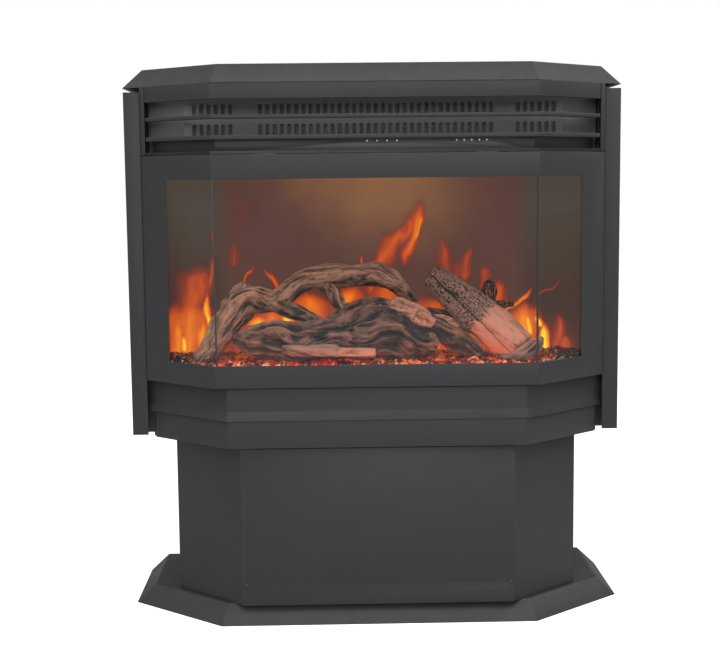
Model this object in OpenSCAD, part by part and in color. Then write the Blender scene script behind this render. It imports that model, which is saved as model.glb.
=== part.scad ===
// Free-standing electric fireplace: bevelled plinth, pedestal, bay-fronted firebox with a three-pane
// window, louvred warm-air outlet and bevelled cap. Millimetres, +Z up, the front faces -Y.
// The origin is on the floor, under the middle of the outline.

/* [Cap and plinth] */
// Width of the cap and the plinth, tip to tip
plate_w = 707; // [704:1:720]
// Depth of the cap and the plinth
plate_d = 276; // [274:1:290]
// Length of the straight front edge of both
plate_front_w = 440; // [430:1:446]
// Height of each
plate_h = 26; // [22:1:30]
// How far the bevel leans in along the front
plate_bevel = 23; // [16:1:26]
// How far the bevel leans in at the ends
plate_end_bevel = 28; // [20:1:32]

/* [Pedestal] */
// Height between the plinth and the firebox
pedestal_h = 224; // [190:1:260]
// Width of the pedestal
pedestal_w = 574; // [560:1:590]
// Width of its flat front panel
pedestal_front_w = 380; // [370:1:390]

/* [Firebox casing] */
// Width across the outer side panels
body_w = 700; // [696:1:703]
// Width of the inner chassis
chassis_w = 640; // [638:1:642]
// Angle of the bay's sides from the front
bay_angle = 40.5; // [39:0.5:42]
// Thickness of the folded sheet
sheet_t = 1.2; // [1.0:0.1:1.6]
// Height of the apron under the firebox
apron_h = 38; // [34:1:44]
// Height of the valance between apron and window
valance_h = 45; // [42:1:50]
// Height of the louvred outlet over the window
louvre_h = 94; // [92:1:98]

/* [Window] */
// Height of the window frame
window_h = 317; // [300:1:330]
// Straight front width of the window frame
window_front_w = 442; // [438:1:446]
// Height of the top rail
top_rail_h = 33; // [28:1:36]
// Height of the bottom rail
bottom_rail_h = 31; // [28:1:34]
// Thickness of the glass
glass_t = 4; // [3:0.5:4]

/* [Fire] */
// Diameter of the mirrored flame rotor
rotor_d = 44; // [36:1:48]
// Diameter of the blower wheel
wheel_d = 60; // [50:1:62]
// Pitch of the outlet slots
slot_pitch = 10; // [9:0.5:12]

/* [Hidden] */
$fn = 48;

// Colours of the finishes
COAT = [0.09, 0.09, 0.10];
GALVANISED = [0.62, 0.63, 0.64];
MIRROR_FOIL = [0.85, 0.86, 0.88];
BOARD_GREEN = [0.08, 0.30, 0.16];
BARK = [0.30, 0.20, 0.14];
CHARRED = [0.10, 0.09, 0.09];
BARE_WOOD = [0.72, 0.50, 0.36];
EMBER = [0.75, 0.16, 0.06];
DARK_PLASTIC = [0.06, 0.06, 0.06];

// Outline shared by everything
front_y = -plate_d / 2;
back_y = plate_d / 2;
bay_y0 = front_y + 1;             // front plane of the window and louvres
rear_y = back_y - 6;              // outside of the rear panel
mitre = tan(bay_angle / 2);       // how a front corner moves in for each mm of inset
gap = 1;                          // clearance round the lift-out window

// Levels from the floor up
body_z = plate_h + pedestal_h;
valance_z = body_z + apron_h;
window_z = valance_z + valance_h + gap;
ceiling_z = window_z + window_h + gap;
cap_z = ceiling_z + louvre_h;
floor_top = window_z - sheet_t;
floor_z = floor_top - sheet_t;
louvre_z = ceiling_z + sheet_t;   // top of the firebox ceiling
body_top = cap_z - sheet_t;       // underside of the top panel

// Inner chassis and outer side panels
wall_x = chassis_w / 2;
wall_in = wall_x - sheet_t;
wall_y = -31;                     // front edge of the chassis walls
inner_x = wall_in - 0.1;          // plates that lie between the walls
panel_y = -39;                    // front face of the outer side panels
panel_z = body_z + 3;
panel_h = cap_z - 6 - panel_z;
panel_flange = 22.5;
rear_in = rear_y - sheet_t;

// Apron and valance
apron_front_w = 410;
apron_y = front_y + 4;
apron_end_x = 317;
lip_h = 13;
lip_lean = 5;
valance_front_w = 416;
valance_y = front_y + 2;
valance_end_x = 325;

// Window
window_half = window_front_w / 2;
window_end_x = 326;
frame_face_t = 2;
frame_depth = 12;
stile_x = 289;                    // where the glass stops and the end stile begins
glass_y = bay_y0 + frame_face_t;
glass_end_x = 312;
glass_seam = 219;
glass_z = window_z + 6;
glass_h = window_h - 12;

// Louvres
blade_depth = 14;
blade_levels = [[18.8, 5.9], [46.5, 5.2]];   // height above the ceiling, thickness
fascia_rise = 72.7;
louvre_end_x = 318;
grille_y = -69;
grille_half = 262;
strip_y = bay_y0 + blade_depth + 0.5;
strip_t = 2;
strip_half = window_half - (strip_y - bay_y0) * mitre;
lamp_z = louvre_z + 14.5;
lamp_r = 0.9;

// Firebox
screen_y = 20;
screen_t = 3;
screen_x = 312;
liner_x = 314.5;
bed_half = 213;
bed_y = -123;
bed_end_x = 304;
bed_back = 15;
bed_top = window_z + bottom_rail_h + 1;
tray_t = 1.5;
tray_h = 20;

// Flame drive
rotor_y = 62;
rotor_z = window_z + 51;
rotor_half = 280;
shaft_r = 3;
running_gap = 0.05;
bush_r = 6;
bracket_x = 287;

// Warm-air blower
blower_y = 45;
blower_z = ceiling_z + 47;
blower_half = 162;
scroll_r = 38;
duct_rise = 22;
duct_front = -30;

// Main switch
switch_x = 225;
switch_z = body_z + 40;
switch_y = rear_y - 3;
rocker_tilt = 8;

// Points of a bay outline: straight front, angled sides
function bay_y(half, y, x) = y + (abs(x) - half) * tan(bay_angle);
function bay_edge(half, y, end_x) = [[-end_x, bay_y(half, y, end_x)], [-half, y], [half, y], [end_x, bay_y(half, y, end_x)]];
function reversed(list) = [for (i = [len(list) - 1 : -1 : 0]) list[i]];
function slot_centres(x0, x1) = [for (x = [x0 + slot_pitch / 2 : slot_pitch : x1]) x];

// Solid block with a bay front
module bay_block(half, y, end_x, back, z, h) {
    translate([0, 0, z]) linear_extrude(h)
        polygon(concat(bay_edge(half, y, end_x), [[end_x, back], [-end_x, back]]));
}

// Band of one depth that follows the bay
module bay_strip(half, y, end_x, depth, z, h) {
    translate([0, 0, z]) linear_extrude(h)
        polygon(concat(bay_edge(half, y, end_x), reversed(bay_edge(half - depth * mitre, y + depth, end_x))));
}

// Removes what lies outside a sloped face that starts at a bottom edge
module slope_cut(x, y, inward, run, h) {
    over = 0.2;
    translate([x, y, 0]) rotate([0, 0, inward]) rotate([90, 0, 0]) linear_extrude(2000, center = true)
        polygon([[-over * run, -over * h], [(1 + over) * run, (1 + over) * h], [-60, (1 + over) * h], [-60, -over * h]]);
}

// Bay block whose front and angled sides lean in, and its ends too where end_run is set
module sloped_block(half, y, end_x, back, h, run, end_run) {
    difference() {
        bay_block(half, y, end_x, back, 0, h);
        slope_cut(0, y, 90, run, h);
        for (s = [-1, 1]) {
            slope_cut(s * half, y, 90 + s * bay_angle, run, h);
            if (end_run > 0) slope_cut(s * end_x, 0, 90 + s * 90, end_run, h);
        }
    }
}

// Cap and plinth are one folded pan, with a rim turned in along the wide side
module bevelled_pan(rim) {
    half = plate_front_w / 2;
    end_x = plate_w / 2;
    wall = 2;
    difference() {
        sloped_block(half, front_y, end_x, back_y, plate_h, plate_bevel, plate_end_bevel);
        intersection() {
            sloped_block(half - wall * mitre, front_y + wall, end_x - wall, back_y - wall,
                         plate_h, plate_bevel, plate_end_bevel);
            translate([-plate_w, -plate_d, sheet_t]) cube([2 * plate_w, 2 * plate_d, plate_h - 2 * sheet_t]);
        }
        bay_block(half - rim * mitre, front_y + rim, end_x - rim, back_y - rim, -1, sheet_t + 2);
    }
}

// Places children on a bay side: local X runs along the glass, local Y points into the firebox
module on_bay_side(s, half, y) {
    translate([s * half, y, 0]) rotate([0, 0, s * bay_angle]) children();
}

// Pan-head screw whose head faces -Y, with its seat at the origin
module screw(head_r, length) {
    rotate([90, 0, 0]) {
        difference() {
            cylinder(h = 2, r = head_r);
            for (a = [0, 90]) rotate([0, 0, a]) translate([-head_r * 0.6, -0.4, 1.2]) cube([head_r * 1.2, 0.8, 2]);
        }
        translate([0, 0, -length]) cylinder(h = length, r = 1.8);
    }
}

// Rounded limb through [x, y, z, radius] points
module limb(points) {
    for (i = [0 : len(points) - 2]) hull() for (p = [points[i], points[i + 1]])
        translate([p[0], p[1], p[2]]) sphere(r = p[3], $fn = 14);
}

/* ---- plinth and pedestal ---- */

module plinth() {
    color(COAT) bevelled_pan(18);
}

pedestal_half = pedestal_front_w / 2 - 1;
pedestal_y = front_y + 10;
pedestal_x = pedestal_w / 2;
pedestal_back = back_y - 20;
pedestal_screw_x = 185;
pedestal_screw_z = 28;
screw_hole_r = 1.9;

module pedestal_side(s) {
    inner = pedestal_half - sheet_t * mitre;
    difference() {
        intersection() {
            difference() {
                bay_block(pedestal_half, pedestal_y + sheet_t, pedestal_x, pedestal_back, plate_h, pedestal_h);
                bay_block(inner, pedestal_y + 2 * sheet_t, pedestal_x - sheet_t, pedestal_back - sheet_t,
                          plate_h - 1, pedestal_h + 2);
            }
            union() {
                translate([s * (pedestal_x + 1) - 60, front_y, plate_h]) cube([120, plate_d, pedestal_h]);
                translate([s * (pedestal_x - 60) - 62, front_y, plate_h]) cube([124, plate_d / 2, pedestal_h]);
            }
        }
        translate([s * pedestal_screw_x, pedestal_y, plate_h + pedestal_screw_z]) rotate([90, 0, 0])
            cylinder(h = 20, r = screw_hole_r, center = true);
    }
}

module pedestal_left_panel() {
    color(COAT) pedestal_side(-1);
}

module pedestal_right_panel() {
    color(COAT) pedestal_side(1);
}

module pedestal_back_panel() {
    color(COAT) translate([-pedestal_x + 4, pedestal_back - 2 * sheet_t, plate_h])
        cube([pedestal_w - 8, sheet_t, pedestal_h]);
}

module pedestal_front_panel() {
    color(COAT) difference() {
        translate([-pedestal_front_w / 2, pedestal_y, plate_h])
            cube([pedestal_front_w, sheet_t, pedestal_h - 2]);
        for (s = [-1, 1]) translate([s * pedestal_screw_x, pedestal_y, plate_h + pedestal_screw_z])
            rotate([90, 0, 0]) cylinder(h = 20, r = screw_hole_r, center = true);
    }
}

/* ---- firebox casing ---- */

module base_plate() {
    inset = sheet_t + 0.2;
    color(GALVANISED) bay_block(apron_front_w / 2 - inset * mitre, apron_y + inset, apron_end_x - 1.5,
                                rear_in - 0.1, body_z, sheet_t);
}

module apron() {
    color(COAT) bay_strip(apron_front_w / 2, apron_y, apron_end_x, sheet_t, body_z, apron_h);
}

module valance() {
    upper_half = valance_front_w / 2 - lip_lean * mitre;
    wall = 2;
    back = valance_y + 110;
    color(COAT) {
        translate([0, 0, valance_z]) difference() {
            sloped_block(valance_front_w / 2, valance_y, valance_end_x, back, lip_h, lip_lean, 0);
            translate([0, 0, -1]) bay_block(upper_half - wall * mitre, valance_y + lip_lean + wall,
                                            valance_end_x + 1, back + 1, 0, lip_h + 2);
        }
        bay_strip(upper_half, valance_y + lip_lean, valance_end_x, wall, valance_z + lip_h, floor_top - valance_z - lip_h);
    }
}

rear_screw_x = 309;
rear_screw_levels = [24, 170, 320, 470];

module chassis_wall(s) {
    mirror([s < 0 ? 1 : 0, 0, 0]) difference() {
        union() {
            translate([wall_in, wall_y, body_z]) cube([sheet_t, rear_in - wall_y, cap_z - body_z]);
            // wing that carries the outer side panel
            translate([wall_x, wall_y + 14, panel_z]) cube([body_w / 2 - wall_x - sheet_t - 0.2, sheet_t, panel_h]);
            // return for the rear panel's screws, notched clear of the floor, ceiling and top plates
            for (span = [[body_z + 2, floor_z - 1], [floor_top + 1, ceiling_z - 1], [louvre_z + 1, body_top - 1]])
                translate([wall_in - 20, rear_in - sheet_t, span[0]]) cube([20, sheet_t, span[1] - span[0]]);
        }
        for (z = rear_screw_levels) translate([rear_screw_x, rear_in, body_z + z]) rotate([90, 0, 0])
            cylinder(h = 10, r = screw_hole_r, center = true);
    }
}

module chassis_left_wall() {
    color(COAT) chassis_wall(-1);
}

module chassis_right_wall() {
    color(COAT) chassis_wall(1);
}

module side_panel(s) {
    mirror([s < 0 ? 1 : 0, 0, 0]) translate([body_w / 2, 0, panel_z]) {
        translate([-sheet_t, panel_y, 0]) cube([sheet_t, rear_y - panel_y, panel_h]);
        translate([-panel_flange, panel_y, 0]) cube([panel_flange, sheet_t, panel_h]);
        translate([-panel_flange - 4, rear_in, 0]) cube([panel_flange + 4, sheet_t, panel_h]);
    }
}

module left_side_panel() {
    color(COAT) side_panel(-1);
}

module right_side_panel() {
    color(COAT) side_panel(1);
}

gland_x = 270;
gland_hole_r = 8;

module rear_panel() {
    color(COAT) difference() {
        translate([-inner_x, rear_in, body_z]) cube([2 * inner_x, sheet_t, body_top - body_z]);
        for (x = slot_centres(-150, 150)) translate([x - 2, rear_in - 1, blower_z - 26]) cube([4, 4, 52]);
        for (x = slot_centres(-60, 60)) translate([x - 2, rear_in - 1, body_z + 14]) cube([4, 4, 30]);
        translate([switch_x - 11.6, rear_in - 1, switch_z - 15.6]) cube([23.2, 4, 31.2]);
        translate([gland_x, rear_in, switch_z]) rotate([90, 0, 0])
            cylinder(h = 10, r = gland_hole_r, center = true);
        for (s = [-1, 1], z = rear_screw_levels) translate([s * rear_screw_x, rear_in, body_z + z])
            rotate([90, 0, 0]) cylinder(h = 10, r = screw_hole_r, center = true);
    }
}

module casing_screws() {
    color(DARK_PLASTIC) for (s = [-1, 1]) {
        translate([s * pedestal_screw_x, pedestal_y, plate_h + pedestal_screw_z]) screw(3.4, 8);
        for (z = rear_screw_levels)
            translate([s * rear_screw_x, rear_y, body_z + z]) rotate([0, 0, 180]) screw(3.4, 8);
    }
}

module top_panel() {
    inset = sheet_t + 0.2;
    color(GALVANISED) bay_block(window_half - inset * mitre, bay_y0 + inset, inner_x, rear_in - 0.1, body_top, sheet_t);
}

module cap() {
    color(COAT) translate([0, 0, cap_z]) bevelled_pan(60);
}

module firebox_floor() {
    inset = lip_lean + 2.3;
    color(GALVANISED) bay_block(valance_front_w / 2 - inset * mitre, valance_y + inset, inner_x,
                                rear_in - 0.1, floor_z, sheet_t);
}

module firebox_ceiling() {
    lip = 3.6;
    color(COAT) {
        bay_block(window_half, bay_y0, louvre_end_x, 0, ceiling_z, sheet_t);
        translate([-inner_x, -1, ceiling_z]) cube([2 * inner_x, rear_in + 0.9, sheet_t]);
        bay_strip(window_half, bay_y0, louvre_end_x, sheet_t, ceiling_z, lip);
    }
}

module firebox_liner(s) {
    mirror([s < 0 ? 1 : 0, 0, 0]) translate([liner_x - sheet_t, -36, floor_top])
        cube([sheet_t, screen_y + 35, ceiling_z - floor_top]);
}

module firebox_left_liner() {
    color(COAT) firebox_liner(-1);
}

module firebox_right_liner() {
    color(COAT) firebox_liner(1);
}

/* ---- louvred outlet and controls ---- */

module louvre_fascia() {
    z = ceiling_z + fascia_rise;
    lip_depth = 9;
    color(COAT) {
        bay_strip(window_half, bay_y0, louvre_end_x, sheet_t, z, cap_z - z);
        bay_strip(window_half, bay_y0, louvre_end_x, lip_depth, z, sheet_t);
    }
}

module louvre_blades() {
    color(COAT) for (b = blade_levels)
        bay_strip(window_half, bay_y0, louvre_end_x, blade_depth, ceiling_z + b[0], b[1]);
}

module louvre_end_posts() {
    color(COAT) for (s = [-1, 1]) intersection() {
        bay_strip(window_half, bay_y0, window_end_x, 12, ceiling_z, louvre_h);
        translate([s * (inner_x + 5.2) - 5, front_y, ceiling_z]) cube([10, plate_d, louvre_h]);
    }
}

slot_rows = [[26, 15], [54.7, 13.7]];            // height above the ceiling, length
slot_groups = [[-253, -191], [-162, 168], [195, 257]];

module outlet_grille() {
    color(COAT) difference() {
        bay_strip(grille_half, grille_y, louvre_end_x, sheet_t, louvre_z, body_top - louvre_z);
        for (row = slot_rows, group = slot_groups, x = slot_centres(group[0], group[1]))
            translate([x - 2.5, grille_y - 1, ceiling_z + row[0]]) cube([5, 4, row[1]]);
    }
}

lamp_columns = concat([for (i = [0 : 3]) -11 + i * 13.5], [for (i = [0 : 4]) 110 + i * 10.2]);

module control_strip() {
    color(DARK_PLASTIC) difference() {
        bay_strip(strip_half, strip_y, 310, strip_t, louvre_z, 21.5);
        for (x = lamp_columns) translate([x, strip_y, lamp_z]) rotate([90, 0, 0])
            cylinder(h = 10, r = lamp_r, center = true);
    }
}

module status_lamps() {
    color([0.95, 0.96, 1.0]) for (x = lamp_columns)
        translate([x, strip_y - 0.2, lamp_z]) rotate([-90, 0, 0]) cylinder(h = strip_t + 0.2, r = lamp_r);
}

module touch_board() {
    color(BOARD_GREEN) {
        translate([-40, strip_y + strip_t, louvre_z + 3]) cube([220, 1.6, 18]);
        for (x = [-22, 58, 96]) translate([x, strip_y + strip_t + 1.6, louvre_z + 6]) cube([14, 2, 10]);
    }
}

/* ---- lift-out window ---- */

module window_frame() {
    top = window_z + window_h;
    color(COAT) {
        difference() {
            bay_strip(window_half, bay_y0, window_end_x, frame_face_t, window_z, window_h);
            translate([-stile_x, front_y - 5, window_z + bottom_rail_h])
                cube([2 * stile_x, plate_d / 2, window_h - top_rail_h - bottom_rail_h]);
        }
        for (z = [window_z, top - frame_face_t])
            bay_strip(window_half, bay_y0, window_end_x, frame_depth, z, frame_face_t);
        for (s = [-1, 1]) intersection() {
            bay_strip(window_half, bay_y0, window_end_x, frame_depth, window_z, window_h);
            translate([s * (window_end_x - 1) - 1, front_y, window_z]) cube([2, plate_d, window_h]);
        }
    }
}

module glass_band(x0, x1) {
    intersection() {
        bay_strip(window_half - frame_face_t * mitre, glass_y, glass_end_x, glass_t, glass_z, glass_h);
        translate([x0, front_y, glass_z]) cube([x1 - x0, plate_d, glass_h]);
    }
}

module front_glass() {
    color([0.5, 0.5, 0.5, 0.3]) glass_band(-glass_seam + 0.7, glass_seam - 0.7);
}

module left_glass() {
    color([0.5, 0.5, 0.5, 0.3]) glass_band(-glass_end_x, -glass_seam - 0.7);
}

module right_glass() {
    color([0.5, 0.5, 0.5, 0.3]) glass_band(glass_seam + 0.7, glass_end_x);
}

module glass_seals() {
    color([0.3, 0.3, 0.3]) for (s = [-1, 1]) glass_band(s * glass_seam - 0.7, s * glass_seam + 0.7);
}

module glass_clips() {
    inner = glass_y + glass_t;
    inner_half = window_half - (inner - bay_y0) * mitre;
    color(GALVANISED) for (z = [window_z + frame_face_t, window_z + window_h - frame_face_t - 16]) {
        for (x = [-150, 0, 150]) translate([x - 10, inner, z]) cube([20, sheet_t, 16]);
        for (s = [-1, 1]) on_bay_side(s, inner_half, inner) translate([s * 60 - 10, 0, z]) cube([20, sheet_t, 16]);
    }
}

module window_magnets() {
    color(GALVANISED) for (s = [-1, 1])
        translate([s * 150 - 15, bay_y0 + frame_depth + 0.5, ceiling_z - 10]) cube([30, 10, 10]);
}

/* ---- fire ---- */

module flame_screen() {
    color([0.35, 0.22, 0.18, 0.8]) translate([-screen_x, screen_y, floor_top + 3])
        cube([2 * screen_x, screen_t, ceiling_z - floor_top - 6]);
}

module ember_tray() {
    inset = 1.5;
    half = bed_half + inset * mitre;
    color(GALVANISED) difference() {
        bay_block(half, bed_y - inset, bed_end_x + inset, bed_back + inset, floor_top, tray_h);
        bay_block(half - tray_t * mitre + 0.1, bed_y - inset + tray_t - 0.1, bed_end_x + inset - tray_t,
                  bed_back + inset - tray_t, floor_top + tray_t, tray_h);
    }
}

module ember_light_board() {
    z = floor_top + tray_t;
    color(BOARD_GREEN) translate([0, 0, z]) {
        translate([-190, -100, 0]) cube([380, 90, 1.6]);
        for (x = [-175 : 25 : 175], y = [-85, -55, -25]) translate([x, y, 1.6]) cylinder(h = 1.6, r = 2.5);
    }
}

module ember_bed() {
    z = floor_top + tray_t + 4;
    clear = 0.3;
    color(EMBER) bay_block(bed_half - clear * mitre, bed_y + clear, bed_end_x - clear, bed_back - clear, z, bed_top - z);
}

module root_log() {
    color(BARK) {
        limb([[-246, -72, 384, 17], [-228, -70, 410, 16], [-206, -66, 438, 14], [-187, -60, 460, 15],
              [-160, -53, 453, 15], [-128, -48, 456, 13], [-100, -46, 474, 11], [-42, -42, 482, 10],
              [-8, -38, 482, 9], [18, -34, 468, 9], [52, -30, 441, 7]]);
        limb([[-138, -52, 444, 8], [-106, -56, 432, 6], [-76, -60, 422, 5]]);
        limb([[-71, -42, 468, 8], [-45, -34, 424, 8]]);
    }
}

module front_log() {
    color(CHARRED) limb([[-198, -92, 392, 8], [-164, -88, 396, 18], [-127, -86, 396, 20], [-92, -84, 391, 19],
                         [-57, -82, 394, 23], [-22, -80, 396, 26], [12, -80, 396, 24], [46, -80, 392, 19],
                         [74, -80, 384, 13]]);
}

module front_splinter() {
    color(BARE_WOOD) limb([[-128, -114, 383, 4.5], [-65, -116, 378, 5.5], [-3, -116, 372, 5.5]]);
}

module centre_log() {
    color(CHARRED) {
        limb([[22, -60, 440, 11], [44, -60, 436, 13], [70, -60, 426, 11], [98, -64, 414, 9], [126, -72, 394, 9],
              [148, -78, 378, 8]]);
        limb([[98, -62, 412, 7], [120, -48, 405, 6]]);
    }
}

module split_log() {
    color(BARE_WOOD) limb([[79, -32, 476, 21], [107, -42, 460, 24], [142, -56, 436, 27], [175, -70, 411, 29],
                           [206, -82, 391, 24]]);
}

module back_stubs() {
    color(CHARRED) {
        limb([[174, -2, 376, 9], [166, -4, 460, 8]]);
        limb([[198, 2, 377, 10], [191, 0, 426, 9]]);
    }
}

module flame_rotor() {
    fin_l = 30;
    fins = 17;
    pitch = 2 * rotor_half / fins;
    shaft_l = 2 * bracket_x + 14;
    color(MIRROR_FOIL) translate([0, rotor_y, rotor_z]) rotate([0, 90, 0]) {
        translate([0, 0, -bracket_x - 4]) cylinder(h = shaft_l, r = shaft_r);
        translate([0, 0, -rotor_half]) cylinder(h = 2 * rotor_half, r = 5);
        for (i = [0 : fins - 1], a = [0 : 90 : 270]) rotate([0, 0, a + i * 35])
            translate([0, -0.5, -rotor_half + i * pitch]) cube([rotor_d / 2, 1, fin_l]);
    }
}

module rotor_brackets() {
    plate_t = 1.5;
    color(GALVANISED) for (s = [-1, 1]) difference() {
        translate([s * bracket_x - plate_t / 2, rotor_y - 14, floor_top]) cube([plate_t, 28, rotor_z - floor_top + 14]);
        translate([s * bracket_x, rotor_y, rotor_z]) rotate([0, 90, 0]) cylinder(h = 10, r = bush_r, center = true);
    }
}

module rotor_bushes() {
    color([0.75, 0.60, 0.30]) for (s = [-1, 1]) translate([s * bracket_x, rotor_y, rotor_z]) rotate([0, 90, 0])
        difference() {
            cylinder(h = 5, r = bush_r, center = true);
            cylinder(h = 7, r = shaft_r + running_gap, center = true);
        }
}

module rotor_motor() {
    color(GALVANISED) translate([bracket_x + 4, rotor_y, rotor_z]) rotate([0, 90, 0]) difference() {
        union() {
            cylinder(h = 20, r = 21);
            translate([0, -29, 16]) cube([rotor_z - floor_top, 58, 2]);
        }
        translate([0, 0, -1]) cylinder(h = 8, r = shaft_r + running_gap);
    }
}

module flame_light_board() {
    color(BOARD_GREEN) {
        translate([-270, rotor_y - 12, floor_top]) cube([540, 24, 1.6]);
        for (x = [-260 : 20 : 260]) translate([x, rotor_y, floor_top + 1.6]) cylinder(h = 2, r = 2.5);
    }
}

/* ---- warm-air blower ---- */

module scroll_outline(shell) {
    circle(r = scroll_r - shell);
    translate([duct_front - blower_y - (shell > 0 ? 1 : 0), -duct_rise + shell])
        square([blower_y - duct_front, 2 * (duct_rise - shell)]);
}

module blower_housing() {
    color(GALVANISED) translate([-blower_half, blower_y, blower_z]) rotate([90, 0, 90]) {
        linear_extrude(2 * blower_half) difference() {
            scroll_outline(0);
            scroll_outline(sheet_t);
            translate([22, -22]) square([30, 44]);
        }
        for (x = [0, 2 * blower_half - sheet_t]) translate([0, 0, x]) linear_extrude(sheet_t) difference() {
            scroll_outline(0);
            circle(r = shaft_r + running_gap);
        }
    }
}

module blower_wheel() {
    blades = 20;
    half = blower_half - 5;
    color(MIRROR_FOIL) translate([0, blower_y, blower_z]) rotate([0, 90, 0]) {
        translate([0, 0, -blower_half - 3]) cylinder(h = 2 * blower_half + 12, r = shaft_r);
        for (i = [0 : 3]) translate([0, 0, -half + i * (2 * half - sheet_t) / 3]) cylinder(h = sheet_t, r = wheel_d / 2);
        for (i = [0 : blades - 1]) rotate([0, 0, i * 360 / blades]) translate([wheel_d / 2 - 7, 0, -half])
            rotate([0, 0, 35]) translate([0, -0.5, 0]) cube([6, 1, 2 * half]);
    }
}

module blower_motor() {
    color(GALVANISED) difference() {
        union() {
            translate([blower_half + 5, blower_y, blower_z]) rotate([0, 90, 0]) cylinder(h = 34, r = 24);
            translate([blower_half + 8, blower_y - 18, louvre_z]) cube([28, 36, blower_z - louvre_z]);
        }
        translate([blower_half, blower_y, blower_z]) rotate([0, 90, 0]) cylinder(h = 11, r = shaft_r + running_gap);
    }
}

heater_front = -64;

module heater_frame() {
    length = duct_front - heater_front - 0.2;
    color(GALVANISED) translate([-blower_half, heater_front, blower_z - duct_rise]) difference() {
        cube([2 * blower_half, length, 2 * duct_rise]);
        translate([sheet_t, -1, sheet_t]) cube([2 * (blower_half - sheet_t), length + 2, 2 * (duct_rise - sheet_t)]);
    }
}

module heater_elements() {
    color([0.55, 0.45, 0.38]) for (z = [-14, -5, 5, 14], y = [-56, -42])
        translate([-blower_half + sheet_t, y, blower_z + z]) rotate([0, 90, 0])
            cylinder(h = 2 * (blower_half - sheet_t), r = 2.5);
}

module thermal_cutout() {
    color(DARK_PLASTIC) translate([100, 0, blower_z + duct_rise]) {
        cylinder(h = 5, r = 8);
        translate([-12, -4, 0]) cube([24, 8, 1.5]);
    }
}

/* ---- electrics under the firebox floor ---- */

module control_board() {
    z = body_z + sheet_t;
    color(BOARD_GREEN) translate([20, 10, z]) {
        for (x = [6, 124], y = [6, 84]) translate([x, y, 0]) cylinder(h = 7, r = 3);
        translate([0, 0, 7]) cube([130, 90, 1.6]);
        for (x = [16, 40, 64]) translate([x, 12, 8.6]) cube([19, 15, 16]);
        for (x = [30, 50]) translate([x, 60, 8.6]) cylinder(h = 20, r = 6);
        translate([86, 40, 8.6]) cube([30, 8, 22]);
        translate([10, 80, 8.6]) cube([100, 8, 10]);
    }
}

module power_supply() {
    color(GALVANISED) translate([-130, 20, body_z + sheet_t]) difference() {
        cube([110, 80, 34]);
        for (x = [12 : 8 : 98], y = [14, 48]) translate([x - 1.5, y, 30]) cube([3, 22, 6]);
    }
}

module cord_gland() {
    cord_r = 4;
    color(DARK_PLASTIC) translate([gland_x, rear_y, switch_z]) rotate([90, 0, 0]) difference() {
        union() {
            translate([0, 0, -4]) cylinder(h = 4, r = 11.5);
            cylinder(h = 16, r = gland_hole_r);
            translate([0, 0, sheet_t]) cylinder(h = 6, r = 13, $fn = 6);
        }
        translate([0, 0, -5]) cylinder(h = 22, r = cord_r);
    }
}

module switch_bezel() {
    color(DARK_PLASTIC) translate([switch_x, 0, switch_z]) {
        difference() {
            union() {
                translate([-15, rear_y, -19]) cube([30, 2, 38]);
                translate([-11.5, rear_y - 16, -15.5]) cube([23, 16, 31]);
            }
            translate([-9.4, rear_y - 14, -13.4]) cube([18.8, 20, 26.8]);
            translate([0, switch_y, 0]) rotate([0, 90, 0]) cylinder(h = 21, r = 1.5 + running_gap, center = true);
        }
    }
}

module power_rocker() {
    color([0.02, 0.02, 0.02]) translate([switch_x, switch_y, switch_z]) rotate([rocker_tilt, 0, 0]) {
        rotate([90, 0, 90]) translate([0, 0, -9]) linear_extrude(18)
            polygon([[-2, -12], [5.5, -12], [3.2, 0], [5.5, 12], [-2, 12]]);
        rotate([0, 90, 0]) cylinder(h = 20.4, r = 1.5, center = true);
    }
}

plinth();
pedestal_left_panel();
pedestal_right_panel();
pedestal_back_panel();
pedestal_front_panel();
base_plate();
rear_panel();
casing_screws();
top_panel();
chassis_left_wall();
chassis_right_wall();
left_side_panel();
right_side_panel();
cap();
apron();
valance();
firebox_floor();
firebox_ceiling();
firebox_left_liner();
firebox_right_liner();
louvre_fascia();
louvre_blades();
louvre_end_posts();
outlet_grille();
control_strip();
status_lamps();
touch_board();
window_frame();
front_glass();
left_glass();
right_glass();
glass_seals();
glass_clips();
window_magnets();
flame_screen();
ember_tray();
ember_bed();
ember_light_board();
root_log();
front_log();
front_splinter();
centre_log();
split_log();
back_stubs();
flame_rotor();
rotor_brackets();
rotor_bushes();
rotor_motor();
flame_light_board();
blower_housing();
blower_wheel();
blower_motor();
heater_frame();
heater_elements();
thermal_cutout();
control_board();
power_supply();
cord_gland();
switch_bezel();
power_rocker();
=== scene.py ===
"""Looks of a free-standing electric fireplace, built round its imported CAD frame.

Lengths are metres in the frame's axes: X to the right, Y to the back, Z up, with the origin on the
floor under the middle of the outline. Values whose names end in _mm are millimetres.
"""

import logging
import math
from dataclasses import dataclass, field
from enum import Enum
from typing import Iterable, Optional, Sequence

import bmesh
import bpy
import numpy as np
from mathutils import Matrix, Vector


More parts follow.
